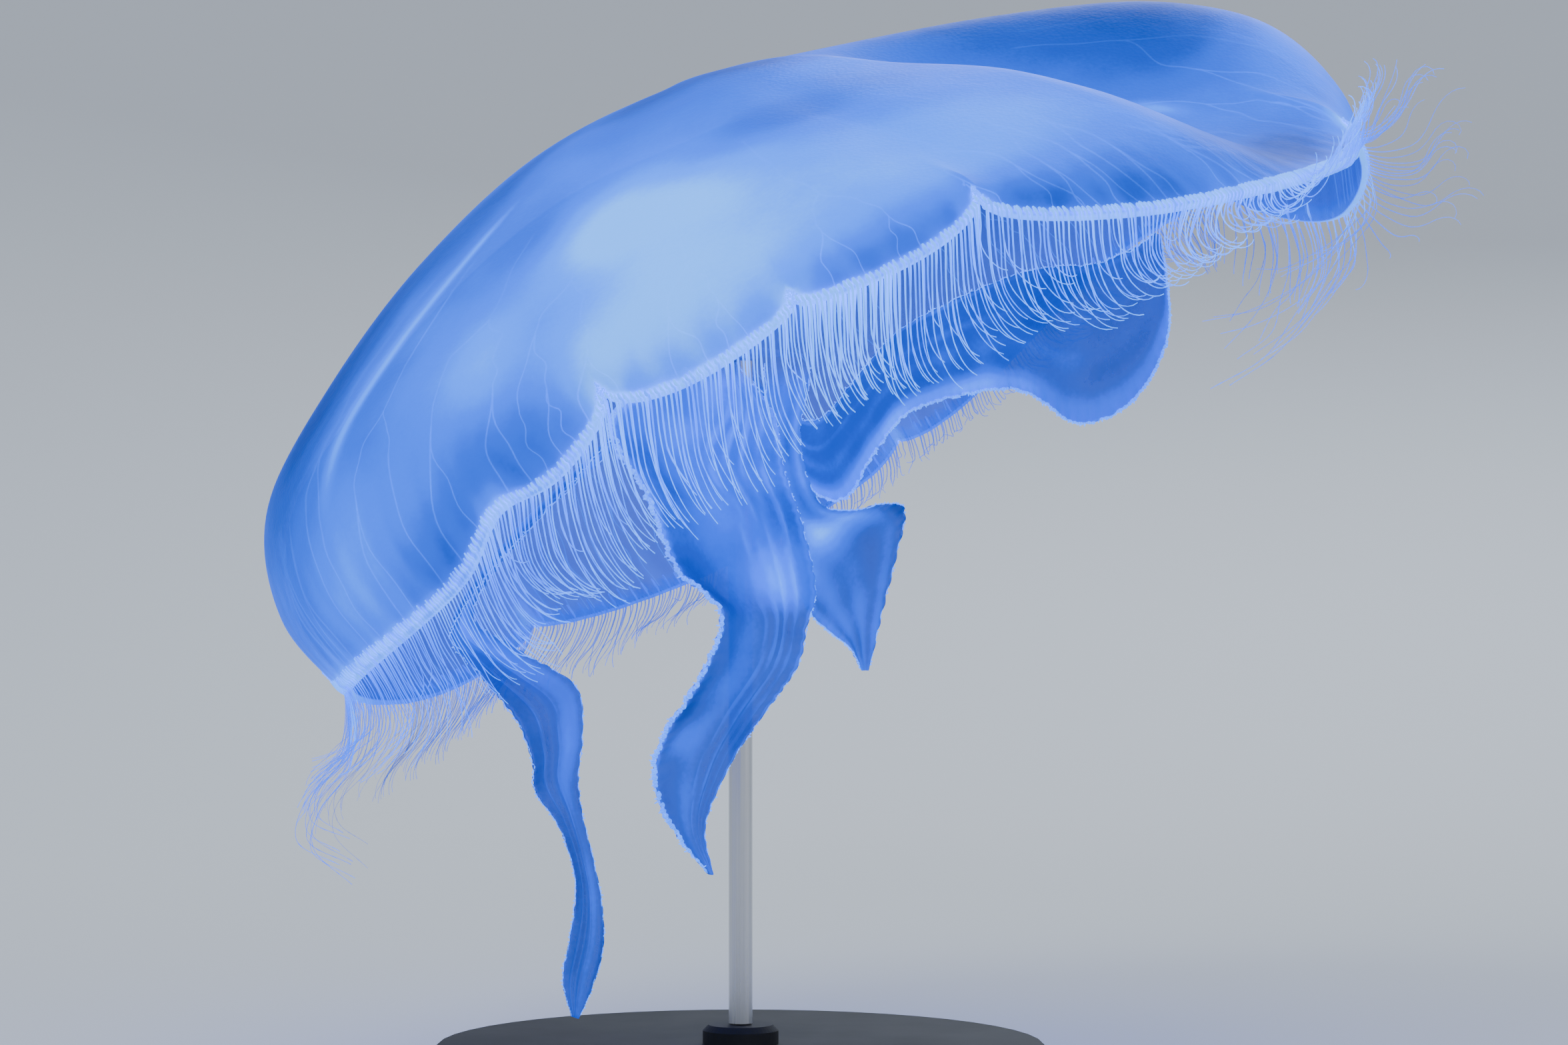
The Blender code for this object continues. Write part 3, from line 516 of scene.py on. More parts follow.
# How the tentacles flow.  For each azimuth: four places along a tentacle, as right, away and up
# from its root in millimetres; how far they stray sideways, in millimetres; and how far their
# ends curl, to the right above 0 and to the left below it.
FLOW = turning_table((
    (-90, -0.3, 1, -7, -2, 2, -13, -7, 3, -19, -10, 4, -26, 2.4, 0.9),
    (-80, 0.6, -1, -7, -0.5, -1, -13, -6, -1, -18, -11, -2, -23, 2.4, 0.5),
    (-70, 3, -2, -5, 3, -2, -11, -3, -2, -16, -11, -3, -19, 2, -0.3),
    (-60, 3.5, -2, -6, 6, -3, -12, 3.5, -4, -17, -4, -5, -20, 1.8, -0.5),
    (-52, 3, -2, -6, 6.5, -3, -12, 7.5, -4, -17, 4.5, -5, -21, 1.5, -0.5),
    (-44, 3, -2, -6, 6.5, -3, -11.5, 10, -4, -15, 14, -5, -15.5, 1.3, 0.6),
    (-38, 2.2, -2, -7, 5, -3, -13, 9, -4, -17.5, 14, -5, -19, 1.3, 0.7),
    (-32, 0.8, -1, -6, 2.5, -2, -12, 6.5, -3, -16.5, 12, -4, -17.5, 1.3, 0.9),
    (-26, 1.2, -1, -7, 3.5, -2, -14, 7, -3, -20, 11, -4, -22, 1.2, 0.7),
    (-18, 1, -1, -7, 2.5, -1, -14, 5, -2, -20, 8, -2, -24.5, 0.7, 0.3),
    (-8, 0.6, -1, -7, 1.6, -1, -14, 3.6, -2, -20, 6.2, -2, -24, 0.7, 0.3),
    (-2, 0.4, -1, -6.5, 1.2, -1, -12.5, 2.8, -2, -17.5, 4.8, -2, -21, 0.8, 0.3),
    (4, 0.2, -1, -6, 0.7, -1, -12, 1.6, -2, -16.5, 2.8, -2, -19.5, 0.8, 0.5),
    (10, 0.2, -1, -7, 0.6, -1, -14, 1.8, -1, -19.5, 4.6, -2, -22, 0.45, 0.6),
    (17, 0.4, -1, -7, 1.2, -1, -14.5, 4, -2, -20.5, 9, -3, -23, 0.5, 0.7),
    (24, 0.4, -1, -6.5, 1.6, -2, -13, 5, -3, -18, 10, -4, -18.5, 0.6, 1.1),
    (30, 0.4, -1, -5, 1.2, -2, -10, 4, -3, -14, 8.5, -4, -13, 0.6, 1.6),
    (38, -1.2, -1, -3.5, -1.6, -2, -7.5, 1, -3, -10.5, 4.6, -4, -9.5, 0.6, 2),
    (45, -0.8, -2, -2.6, 0.6, -3, -5, 3.8, -4, -6, 6.6, -5, -4, 0.8, 1.6),
    (52, 0.8, -2, -1.6, 2.6, -4, -2.2, 5, -5, 0.2, 7, -6, 3.5, 1.8, 0.5),
    (60, 1.5, -3, 1.5, 2.5, -5, 6, 5, -6, 10, 9, -7, 10.5, 2.2, 1.4),
    (70, 1, -3, 3.5, 1.5, -4, 9, 4, -4, 13.5, 8.5, -4, 14.5, 2.4, 1.8),
    (79, 4, -1, 1, 8.5, -1, 5, 10.5, -1, 11, 8.5, -1, 17, 2.4, -2.2),
    (88, 6, 0, -1.5, 12.5, 0, -0.5, 16.5, 1, 5.5, 15, 1, 12.5, 2.4, -2.4),
    (97, 5, 1, -3.5, 11.5, 2, -5, 17.5, 3, -2, 18.5, 4, 5, 2.4, -2),
    (106, 1.5, 1, -5, 1.5, 3, -11, -1.5, 4, -17, -6, 5, -22, 2.2, -0.5),
    (120, 2, 3, -5, 3, 6, -10, 2.5, 9, -15, 0, 11, -20, 1.8, 0.3),
    (145, 2.5, 5, -2.5, 5.5, 9, -3.5, 8, 13, -3, 10, 17, -1, 1.6, 0.5),
    (180, 0.5, 5, -2.5, 0.5, 10, -4, 0, 14, -4.5, 0, 18, -4, 1.6, 0.5),
    (225, -1.5, 4, -4, -4, 8, -8, -7, 11, -12, -10, 14, -14, 2, 0.5),
))
FLOW_PLACES = 4
# A few very long, fine threads: azimuth of their roots and its spread, how many there are, and
# five places along them as (right, away, up) from the root in millimetres.
LONG_THREADS = (
    (92, 5, 5, ((2, 1, -4), (2, 2, -9), (-2, 3, -14), (-8, 3, -19), (-14, 4, -22))),
    (99, 6, 4, ((-1, 2, -5), (-5, 3, -12), (-12, 4, -18), (-21, 4, -23), (-30, 4, -25))),
    (106, 7, 4, ((1, 2, -6), (1, 3, -13), (-4, 4, -20), (-12, 5, -30), (-23, 5, -37))),
    (117, 5, 5, ((2, 2, -6), (3, 3, -12), (1, 4, -19), (-3, 4, -26), (-8, 5, -33))),
    (265, 7, 5, ((0, 0, -7), (-3, 0, -15), (-9, -1, -22), (-10, -1, -30), (-2, -2, -34))),
    (-80, 3, 5, ((1, 0, -8), (-1, 0, -16), (-7, -1, -23), (-9, -1, -31), (-1, -2, -36))),
)
LONG_STEPS = 110
LONG_SIDES = 4
LONG_RADIUS = 0.00009
LONG_STRAY = 0.0016
LONG_SHAKE = 0.0007
STRAND_SPACING = 0.001
STRAND_JITTER = 0.28
STRAND_STEPS = 30
STRAND_SIDES = 5
STRAND_RADIUS = 0.000155
STRAND_TIP_RADIUS = 0.00008
STRAND_SHAKE = 0.0001
LOBE_END_GAP = 0.2
ROOT_RUN = 0.0036
SKIN_RUN = 0.112
RIM_OFFSET = 0.36 * JELLY_AT_MARGIN
RIM_DROP = 0.0004
SHORT_CHANCE = 0.1
TIP_THINNER = 0.3
LEANING_THINNER = 0.32
BRIGHT_LOCK = 0.3
BRIGHT_LOCK_AZIMUTH = 3.5
BRIGHT_LOCK_FADE = 4
BRIGHT_LOCK_HALF_WIDTH = 4.8
SPARSE_MIDDLE = 111
SPARSE_HALF_WIDTH = 16
THINNED_FROM = 0.45
LEANING_LIMIT = 0.4
INNER_ROW_TURN = 0.22
TAIL_SHARE = 0.24
TAIL_SHRINK = 0.2
LOOSE_STRAY = 0.0013


def far_shade_share(azimuth):
    """1 on the bell's far half, where the margin, lip and tentacles get painted shade."""
    return smooth_step((np.abs(turn_between(azimuth, 10)) - 95) / 25)


def tip_share(azimuth):
    """1 at the left and right ends, where the tentacles are softest."""
    return (bump_at(azimuth, 88, 24) + bump_at(azimuth, -88, 25)).clip(0, 1)


def leaning_share(azimuth):
    """1 where the margin is steep and the tentacles lean across each other."""
    return bump_at(azimuth, -60, 21)


def brightness(azimuth):
    """How much thicker and brighter the one bright lock is."""
    return BRIGHT_LOCK * bump_at(azimuth, BRIGHT_LOCK_AZIMUTH, BRIGHT_LOCK_FADE)


def wind_tails(path, turn, spin):
    """Wind the last stretch of each tentacle into a hook or a curl."""
    tail = int(STRAND_STEPS * TAIL_SHARE)
    start = STRAND_STEPS - tail
    place, step = path[:, start - 1], path[:, start] - path[:, start - 1]
    for index in range(tail):
        share = (index + 1) / tail
        angle = (turn * 2 * share / tail)[:, None]
        step = (step * np.cos(angle) + np.cross(spin, step) * np.sin(angle)
                + spin * np.sum(spin * step, axis=-1, keepdims=True) * (1 - np.cos(angle)))
        place = place + step * (1 - TAIL_SHRINK * share)
        path[:, start + index] = place


def strand_paths(azimuth, random, inner_row):
    """Centre lines and radii of tentacles with roots at some azimuths."""
    count = len(azimuth)
    flow = blended(FLOW, azimuth)
    course = flow[:, :-2].reshape(count, FLOW_PLACES, 3) * MILLIMETRE
    stray, curl = flow[:, -2] * MILLIMETRE, flow[:, -1]
    edge, downward, outward = margin_frame(azimuth)
    within = inner_row[:, None]
    top = 1 - ROOT_RUN * random.uniform(0.75, 1.05, count) / SKIN_RUN
    half_way = 0.5 * (1 + top)
    rim = edge + outward * np.where(within, -RIM_OFFSET, RIM_OFFSET) + downward * RIM_DROP
    # Outside, the roots lie just on the skin; inside, just below it.
    root = np.where(within, inner_point(azimuth, top, 0.00002),
                    bell_point(azimuth, top, -0.00005))
    middle = np.where(within, inner_point(azimuth, half_way, 0.00008),
                      bell_point(azimuth, half_way, -0.00012))
    # Neighbours stray together in locks, and each a little by itself.
    lock = np.stack([line_noise(azimuth * 0.3, 0, 1, seed) for seed in (11, 12, 13)], -1)
    wander = (lock + random.normal(0, 0.3, (count, 3))) * stray[:, None]
    reach = random.uniform(0.86, 1.06, count) * np.where(
        random.random(count) < SHORT_CHANCE, random.uniform(0.5, 0.85, count), 1)
    places = [root, middle, rim]
    for index in range(FLOW_PLACES):
        grow = ((index + 1) / FLOW_PLACES) ** 1.6
        shake = random.normal(0, STRAND_SHAKE, (count, 3)) * (index + 1)
        places.append(rim + course[:, index] * reach[:, None] + wander * grow + shake)
    along = np.linspace(0, 1, STRAND_STEPS)
    path = curve_through(np.stack(places, axis=1)[:, None], np.tile(along, (count, 1)))
    loose = np.clip(stray / LOOSE_STRAY, 0.25, 1)
    turn = curl * (0.9 + random.uniform(-0.45, 0.35, count) * loose)
    spin = random.normal(0, 0.3, (count, 3)) * loose[:, None] + (0, -1, 0)
    wind_tails(path, turn, unit(spin))
    beads = np.sin(along * random.uniform(95, 130, (count, 1))
                   + random.uniform(0, 6, (count, 1)))
    beads = 1 + 0.22 * beads * smooth_step((along - 0.45) / 0.25)
    taper = STRAND_RADIUS + (STRAND_TIP_RADIUS - STRAND_RADIUS) * smooth_step(
        (along - 0.35) / 0.65)
    swell = 1 + 1.35 * bump_of(along, 0.19, 0.15) * (1 - 0.6 * far_shade_share(azimuth))[:, None]
    leaning = leaning_share(azimuth)
    thin = TIP_THINNER * tip_share(azimuth).clip(0, 1 - leaning) + LEANING_THINNER * leaning
    radii = taper * swell * beads * random.uniform(0.85, 1.15, (count, 1))
    return path, radii * (1 - thin + brightness(azimuth))[:, None]


def long_thread_paths(start, end, random):
    """Azimuths, centre lines and radii of the long threads between two azimuths."""
    turns, paths, radii = [], [], []
    share = np.linspace(0, 1, LONG_STEPS)
    for middle, spread, count, course in LONG_THREADS:
        if not start <= start + (middle - start) % 360 <= end:
            continue
        for index in range(count):
            turn = middle + spread * (2 * (index + 0.5) / count - 1)
            rim = margin_frame(turn)[0]
            reach = random.uniform(0.75, 1.06)
            stray = random.normal(0, LONG_STRAY, 3)
            places = [rim]
            for number, place in enumerate(course, 1):
                grow = number / len(course)
                shake = random.normal(0, LONG_SHAKE, 3)
                places.append(rim + np.array(place) * MILLIMETRE * reach + (stray + shake) * grow)
            grains = np.clip(line_noise(share * 60, turn, 1, 17) - 0.25, 0, 1)
            turns.append(turn)
            paths.append(curve_through(places, share))
            radii.append(LONG_RADIUS * (1 + 1.5 * grains) * (1 - 0.35 * share))
    return turns, np.array(paths), np.array(radii)


def make_tentacles(lobe, material, random):
    """The tentacles of a lobe, with the thick roots that make its pale band."""
    start, end = lobe_span(lobe)
    fine = np.linspace(start + LOBE_END_GAP, end - LOBE_END_GAP, 400)
    length = run_along(margin_frame(fine)[0])
    count = int(length[-1] / STRAND_SPACING)
    order = np.arange(count)
    spots = order + 0.5 + random.uniform(-STRAND_JITTER, STRAND_JITTER, count)
    azimuth = np.interp(spots / count * length[-1], length, fine)
    sparse = np.abs(turn_between(azimuth, SPARSE_MIDDLE)) < SPARSE_HALF_WIDTH
    azimuth = azimuth[np.where(sparse, order % 3 == 0,
                               (order % 2 == 0) | (tip_share(azimuth) < THINNED_FROM))]
    # A second, inner row stands behind each third tentacle and behind the whole bright lock.
    count = len(azimuth)
    locked = np.abs(turn_between(azimuth, BRIGHT_LOCK_AZIMUTH)) < BRIGHT_LOCK_HALF_WIDTH
    extra = azimuth[(np.arange(count) % 3 == 0) | locked]
    extra = extra[(tip_share(extra) < THINNED_FROM) & (leaning_share(extra) < LEANING_LIMIT)]
    azimuth = np.concatenate((azimuth, extra + INNER_ROW_TURN))
    path, radii = strand_paths(azimuth, random, np.arange(len(azimuth)) >= count)
    turns, long_path, long_radii = long_thread_paths(start, end, random)
    sets = [(path, radii, STRAND_SIDES)]
    if turns:
        sets.append((long_path, long_radii, LONG_SIDES))
    points, faces, owner, share, around = tubes(*sets)
    azimuth = np.concatenate((azimuth, turns))
    shade = random.uniform(-0.08, 0.08, len(azimuth))[owner]
    far, tip, leaning, bright, angle = (value[owner] for value in (
        far_shade_share(azimuth), tip_share(azimuth), leaning_share(azimuth), brightness(azimuth),
        np.radians(azimuth)))
    hanging = smooth_step((share - 0.18) / 0.3)
    # Tentacles on the bell's far half are darker, in painted shade, and more see-through.
    tone = 0.96 - (0.08 + 0.3 * tip + 0.1 * leaning) * hanging + shade
    tone = tone + 0.12 * smooth_step((share - 0.75) / 0.25) - 0.46 * far + bright
    veil = 0.97 - (0.12 + 0.42 * tip) * hanging - 0.4 * far + bright
    uv = np.stack((0.5 + 0.46 * np.sin(angle) + 0.003 * (share - 0.5),
                   0.5 - 0.46 * np.cos(angle) + 0.003 * (around - 0.5)), axis=-1)
    add_piece(f"tentacles_{lobe + 1}", points, faces, material,
              [f"fringe_{lobe + 1}"], tone, veil, uv)


SPECKS_PER_NOTCH = 110
SPECK_BAND = 0.05
SPECK_SIDES = 5


def make_notch_specks(material, random):
    """Small pale grains on the skin around each notch."""
    centres, widths = [], []
    steps = np.array((-1, -0.4, 0.4, 1))[:, None]
    for azimuth, _, _, _ in NOTCHES:
        level = 1 - SPECK_BAND * random.random(SPECKS_PER_NOTCH) ** 1.4
        turn = azimuth + random.normal(0, 0.28, SPECKS_PER_NOTCH)
        drift = random.normal(0, 0.00016, (SPECKS_PER_NOTCH, 1, 3))
        size = random.uniform(0.00009, 0.00024, (SPECKS_PER_NOTCH, 1))
        centres.append(bell_point(turn, level)[:, None] + drift * steps)
        widths.append(size * (0.35, 1, 1, 0.35))
    points, faces, *_ = tubes((np.concatenate(centres), np.concatenate(widths), SPECK_SIDES))
    add_piece("notch_specks", points, faces, material, (), 0.88, 0.85)


# ---------------- under and inside the bell
CANAL_STARTS = 26
CANAL_RADIUS = 0.00015
CANAL_POINTS = 14
CANAL_SIDES = 4
CANAL_TOP = 0.36
CANAL_SPLITS = (0.5, 0.62, 0.74, 0.985)
CANAL_DEPTH = 0.45
GONAD_AZIMUTHS = (45, 135, 225, 315)
GONAD_MIDDLE = 0.27
GONAD_REACH = 0.1
GONAD_RUFFLE = 0.008
GONAD_FOLD = 0.1
GONAD_SPREAD = 30
GONAD_TURN = 115
GONAD_RADIUS = 0.0032
GONAD_SIDES = 20
GONAD_STEPS = 130


def make_canals(material, random):
    """Fine branching canals in the jelly, from the stomach to the margin."""
    paths = []
    share = np.linspace(0, 1, CANAL_POINTS)
    width = 360 / CANAL_STARTS
    branches = [(width * index + 5, CANAL_TOP, width) for index in range(CANAL_STARTS)]
    for stop in CANAL_SPLITS:
        grown = []
        for middle, top, width in branches:
            forks = (0,)
            if stop != CANAL_SPLITS[0]:
                forks = (-0.25, 0.25) if random.random() < 0.8 else (0.12,)
            for fork in forks:
                goal = middle + width * (fork + random.uniform(-0.1, 0.1))
                low = stop
                if stop != CANAL_SPLITS[-1]:
                    low = stop + random.uniform(-0.04, 0.04)
                waves = np.sin(share * random.uniform(5, 11) + random.uniform(0, 6.3))
                waves = waves * random.uniform(0.1, 0.55) * np.sin(math.pi * share)
                turn = middle + (goal - middle) * smooth_step(share * 1.3) + waves
                level = top + (low - top) * share
                paths.append(bell_point(turn, level, jelly_thickness(level) * CANAL_DEPTH))
                grown.append((goal, low, width * (0.5 if len(forks) == 2 else 0.9)))
        branches = grown
    radii = CANAL_RADIUS * (0.75 + 0.4 * random.random((len(paths), 1)))
    points, faces, *_ = tubes((np.array(paths), radii.repeat(CANAL_POINTS, axis=1), CANAL_SIDES))
    add_piece("radial_canals", points, faces, material, (), 0.88, 0.75)


def make_gonads(material):
    """Four ruffled horseshoes of gonad under the crown."""
    share = np.linspace(0, 1, GONAD_STEPS)
    turn = np.radians(GONAD_TURN * (2 * share - 1))
    full = 0.42 + 0.58 * np.sin(math.pi * share).clip(0, 1) ** 0.7
    angle = np.arange(GONAD_SIDES) * math.tau / GONAD_SIDES
    folds = GONAD_FOLD * np.sin(share[:, None] * 120 + 4 * np.sin(angle))
    size = GONAD_RADIUS * full[:, None] * (1 + folds)
    faces = [kind(GONAD_STEPS, GONAD_SIDES)[:, ::-1] for kind in (ring_faces, end_faces)]
    for number, azimuth in enumerate(GONAD_AZIMUTHS, 1):
        ruffle = 0.5 * (np.sin(share * 74 + number) + np.sin(share * 41 + 2 * number))
        down = GONAD_MIDDLE + (GONAD_REACH + GONAD_RUFFLE * ruffle) * np.cos(turn)
        place = azimuth + GONAD_SPREAD * np.sin(turn) * GONAD_MIDDLE / down
        centre = inner_point(place, down, GONAD_RADIUS * 0.9)
        up = unit(inner_point(place, down) - centre)
        across = unit(np.cross(unit(np.gradient(centre, axis=0)), up))
        ring = (across[:, None] * (1.12 * np.cos(angle) * size)[..., None]
                + up[:, None] * (0.9 * np.sin(angle) * size)[..., None])
        add_piece(f"gonad_folds_{number}", (centre[:, None] + ring).reshape(-1, 3), faces,
                  material, [f"gonad_{number}"], 0.56 + folds, 0.45)


# ---------------- mouth stalk
STALK_CORNER = 0.0165
STALK_HOLLOW = 0.0121
# Down the stalk: share along it, and shares of the corners' and the hollows' radii.
STALK_RINGS = ((0, 1.05, 0.89), (0.3, 0.95, 0.71), (0.7, 0.9, 0.63), (1, 1, 0.6))
STALK_ROWS = 40
STALK_SIDES = 96
STALK_TOP_REACH = 0.6
STALK_FLUTES = 28


def make_mouth_stalk(material):
    """The slightly fluted stalk from the crown down to the mouth."""
    share = np.linspace(0, 1, STALK_ROWS)[:, None]
    stations, corners, hollows = np.array(STALK_RINGS).T
    corner = np.interp(share, stations, corners) * STALK_CORNER
    hollow = np.interp(share, stations, hollows) * STALK_HOLLOW
    angle = np.arange(STALK_SIDES) * math.tau / STALK_SIDES
    beat = (0.5 + 0.5 * np.cos(4 * angle)) ** 1.5
    radius = hollow + (corner - hollow) * beat
    radius = radius * (1 - 0.015 * (1 + np.sin(angle * STALK_FLUTES + 3 * share)))
    level = np.stack((np.cos(angle) * radius, np.sin(angle) * radius, np.zeros_like(radius)),
                     axis=-1)
    foot = inner_point(0, 0, 0.0009)
    blend = share[..., None]
    rings = (foot + (MOUTH - foot) * share)[:, None]
    rings = rings + (level @ BANK.T) * (1 - blend) + level * blend
    top = inner_point(np.degrees(angle) + 90, STALK_TOP_REACH * radius[0] / BELL_RADIUS,
                      -0.0004)
    ease = 1 - smooth_step(blend / 0.3)
    rings = rings * (1 - ease) + (top + (rings - rings[0])) * ease
    points = np.concatenate((rings.reshape(-1, 3), rings[0].mean(0)[None],
                             MOUTH[None] + (0, 0, 0.0025)))
    tone = np.append(np.tile(0.4 + 0.25 * beat, STALK_ROWS), (0.4, 0.4))
    fade = 0.42 * (1 - smooth_step((share - 0.6) / 0.4))
    veil = np.append(np.repeat(fade, STALK_SIDES), (0.42, 0))
    add_piece("mouth_stalk", points, fanned_faces(STALK_ROWS, STALK_SIDES), material,
              ["manubrium"], tone, veil)


# ---------------- oral arms
# The tables of the arms give them in this order.
ARM_NAMES = ("oral_arm_front", "oral_arm_right", "oral_arm_left", "oral_arm_back")
# For each station along an arm its two edges in millimetres, as the solids have them.
ARM_EDGES = (
    ((-4, -14.5, 149.5, -0.5, -5.5, 149.5), (-15, -39, 145, 7, -17, 138.5),
     (-24.9, -62, 135.5, 9.2, -28, 126.5), (-17.2, -60, 120, 12.4, -32, 117),
     (-12.2, -58, 107.2, 15.5, -36, 102.6), (-3.4, -56, 98.1, 13.7, -39, 94.9),
     (-7.1, -54, 85.9, 11.7, -41, 86.7), (-14.5, -53, 73.7, 4.3, -43, 76.3),
     (-16.6, -52, 64.5, -1.7, -45, 67.2), (-13.2, -51, 55.4, -6.6, -47, 55.1),
     (-6.2, -50, 46, -5, -49, 45.5)),
    ((5, -1, 149.5, 14.5, 2, 149.5), (6, -1, 132, 12.5, 5, 133),
     (7.5, 0, 119, 16.5, 10, 120.5), (10, 6, 109, 23.5, 18, 118.5),
     (12.5, 14, 100.5, 31, 28, 120), (16, 21, 95, 35.5, 34, 118.5),
     (20, 26, 91.5, 33.5, 36, 108), (23.5, 30, 88.5, 30.5, 36, 96),
     (26.2, 34, 83.5, 27.6, 35, 83.5)),
    ((-14.5, -1, 149.5, -5, 0.5, 149.5), (-32, -4, 128, -24, 2, 134),
     (-50, -10, 108, -44, -2, 115), (-60, -14, 93, -56, -6, 97.5),
     (-53.5, -15, 83.8, -46.9, -7, 89.5), (-46.3, -16, 75, -34.6, -9, 81.9),
     (-43.1, -15, 66.2, -32.9, -10, 72.5), (-42.6, -14, 60.1, -33.8, -10, 63.5),
     (-38.2, -12, 53.4, -33, -10, 55.2), (-35.1, -11, 45.1, -30.7, -9, 45.4),
     (-34.3, -10, 38, -29, -8, 36.9), (-35.4, -10, 30, -28.6, -8, 27.5),
     (-37, -10, 20.3, -30.8, -8, 19), (-35.2, -10, 12.8, -33.8, -9, 12.2)),
    ((1.5, 14.5, 149.5, 0, 5, 149.5), (11, 21, 127, 8, 13, 141), (21.5, 26, 121, 16, 20, 138),
     (29.5, 35, 132, 24.5, 32, 147), (37, 45, 140.5, 34, 43, 158),
     (49, 55, 144.5, 48, 52, 166), (60.5, 62, 146, 61, 58, 171.5),
     (68, 66, 143, 70, 61, 173.5), (75, 70, 138.5, 76.5, 65, 174),
     (83, 72, 140, 81.5, 67, 175), (90.5, 74, 146, 85, 69, 176.5), (96, 74, 156, 88, 70, 178),
     (97, 72, 164, 90.2, 70, 179.2), (95.8, 70, 173, 92, 69, 180.5),
     (94.5, 68, 181, 93.2, 67.5, 181.5)),
)
ARMS = [np.reshape(rows, (-1, 2, 3)) * MILLIMETRE for rows in ARM_EDGES]
# Lengthwise folds: place across the arm, half width, how much paler, and how far the fold
# stands out in millimetres.
ARM_FOLDS = (
    ((0.02, 0.03, 0.34, 0.2), (0.5, 0.18, 0.2, 0.4), (0.66, 0.014, 0.26, 0.5),
     (0.74, 0.012, 0.3, -0.4), (0.81, 0.011, 0.3, 0.5), (0.89, 0.011, 0.28, -0.4),
     (0.985, 0.012, 0.3, 0.1)),
    ((0.03, 0.04, 0.26, 0.2), (0.2, 0.1, 0.22, 0.5), (0.52, 0.14, 0.26, 0.5),
     (0.86, 0.1, 0.28, -0.3)),
    ((0.03, 0.015, 0.22, 0.2), (0.3, 0.02, 0.26, 0.5), (0.48, 0.03, 0.14, -0.4),
     (0.72, 0.15, 0.38, 0.5), (0.6, 0.016, 0.18, 0.4), (0.88, 0.05, 0.1, 0.2)),
    ((0.06, 0.11, 0.5, 0.3), (0.42, 0.08, 0.1, -0.4), (0.66, 0.04, 0.12, 0.5),
     (0.97, 0.02, 0.16, 0.2)),
)
# Pale and dark places, painted highlights and painted shade: shares along and across, half
# widths of both, and how much paler.
ARM_HIGHLIGHT_AND_SHADE_PATCHES = (
    ((0.39, 0.8, 0.055, 0.16, 0.52), (0.46, 0.2, 0.06, 0.16, -0.18),
     (0.64, 0.12, 0.06, 0.12, -0.16), (0.72, 0.25, 0.04, 0.2, 0.16)),
    ((0.42, 0.58, 0.09, 0.4, 0.58), (0.56, 0.97, 0.1, 0.08, -0.2)),
    ((0.8, 0.7, 0.2, 0.5, -0.2), (0.5, 0.1, 0.25, 0.2, -0.08)),
    (),
)
# For both edges of each arm: depth of its frill and radius of its hem, in millimetres.
ARM_FRILLS = (((0.55, 0.46), (0.25, 0.08)), ((0.25, 0.12), (0.3, 0.1)),
              ((0.4, 0.09), (0.3, 0.09)), ((0.4, 0.3), (0.4, 0.09)))
ARM_ROOT_PALER = (0.26, 0.14, 0.1, 0.1)
ARM_PALE_ROOT = 0.5
ARM_ROOT_FADE = 0.06
ARM_ROWS = 340
ARM_COLUMNS = 49
ARM_BOW = 0.1
ARM_TONE = 0.17
FRILL_RATES = (2300, 1900)
FRILL_REACH = 0.07
NARROW_WIDTH = 0.007
SHEET_THICKNESS = 0.00042
ROOT_RISE = 0.01
ROOT_INWARDS = np.array((0.35, 0.35, 0))
HEM_STEPS = 700
HEM_SIDES = 6
FINGER_EVERY = 5
FINGER_SIDES = 4
FINGER_RADII = 0.00013 * np.array((1.2, 1.1, 1.2, 0.6))


def arm_sheet(edges, along, across):
    """Middle surface of an arm on a grid of shares, its facing directions and widths."""
    root = edges[0].mean(axis=0)
    above = root + (edges[0] - root) * 0.6 + (0, 0, ROOT_RISE)
    above = above + (MOUTH - root) * ROOT_INWARDS
    left, right = (curve_through(edges[:, side], along, above[side]) for side in (0, 1))
    chord = right - left
    facing = unit(np.cross(chord, np.gradient(0.5 * (left + right), axis=0)))
    width = np.linalg.norm(chord, axis=-1)
    bulge = (width[:, None] * ARM_BOW * np.sin(math.pi * across))[..., None]
    middle = left[:, None] + chord[:, None] * across[:, None] + facing[:, None] * bulge
    return middle, facing, width


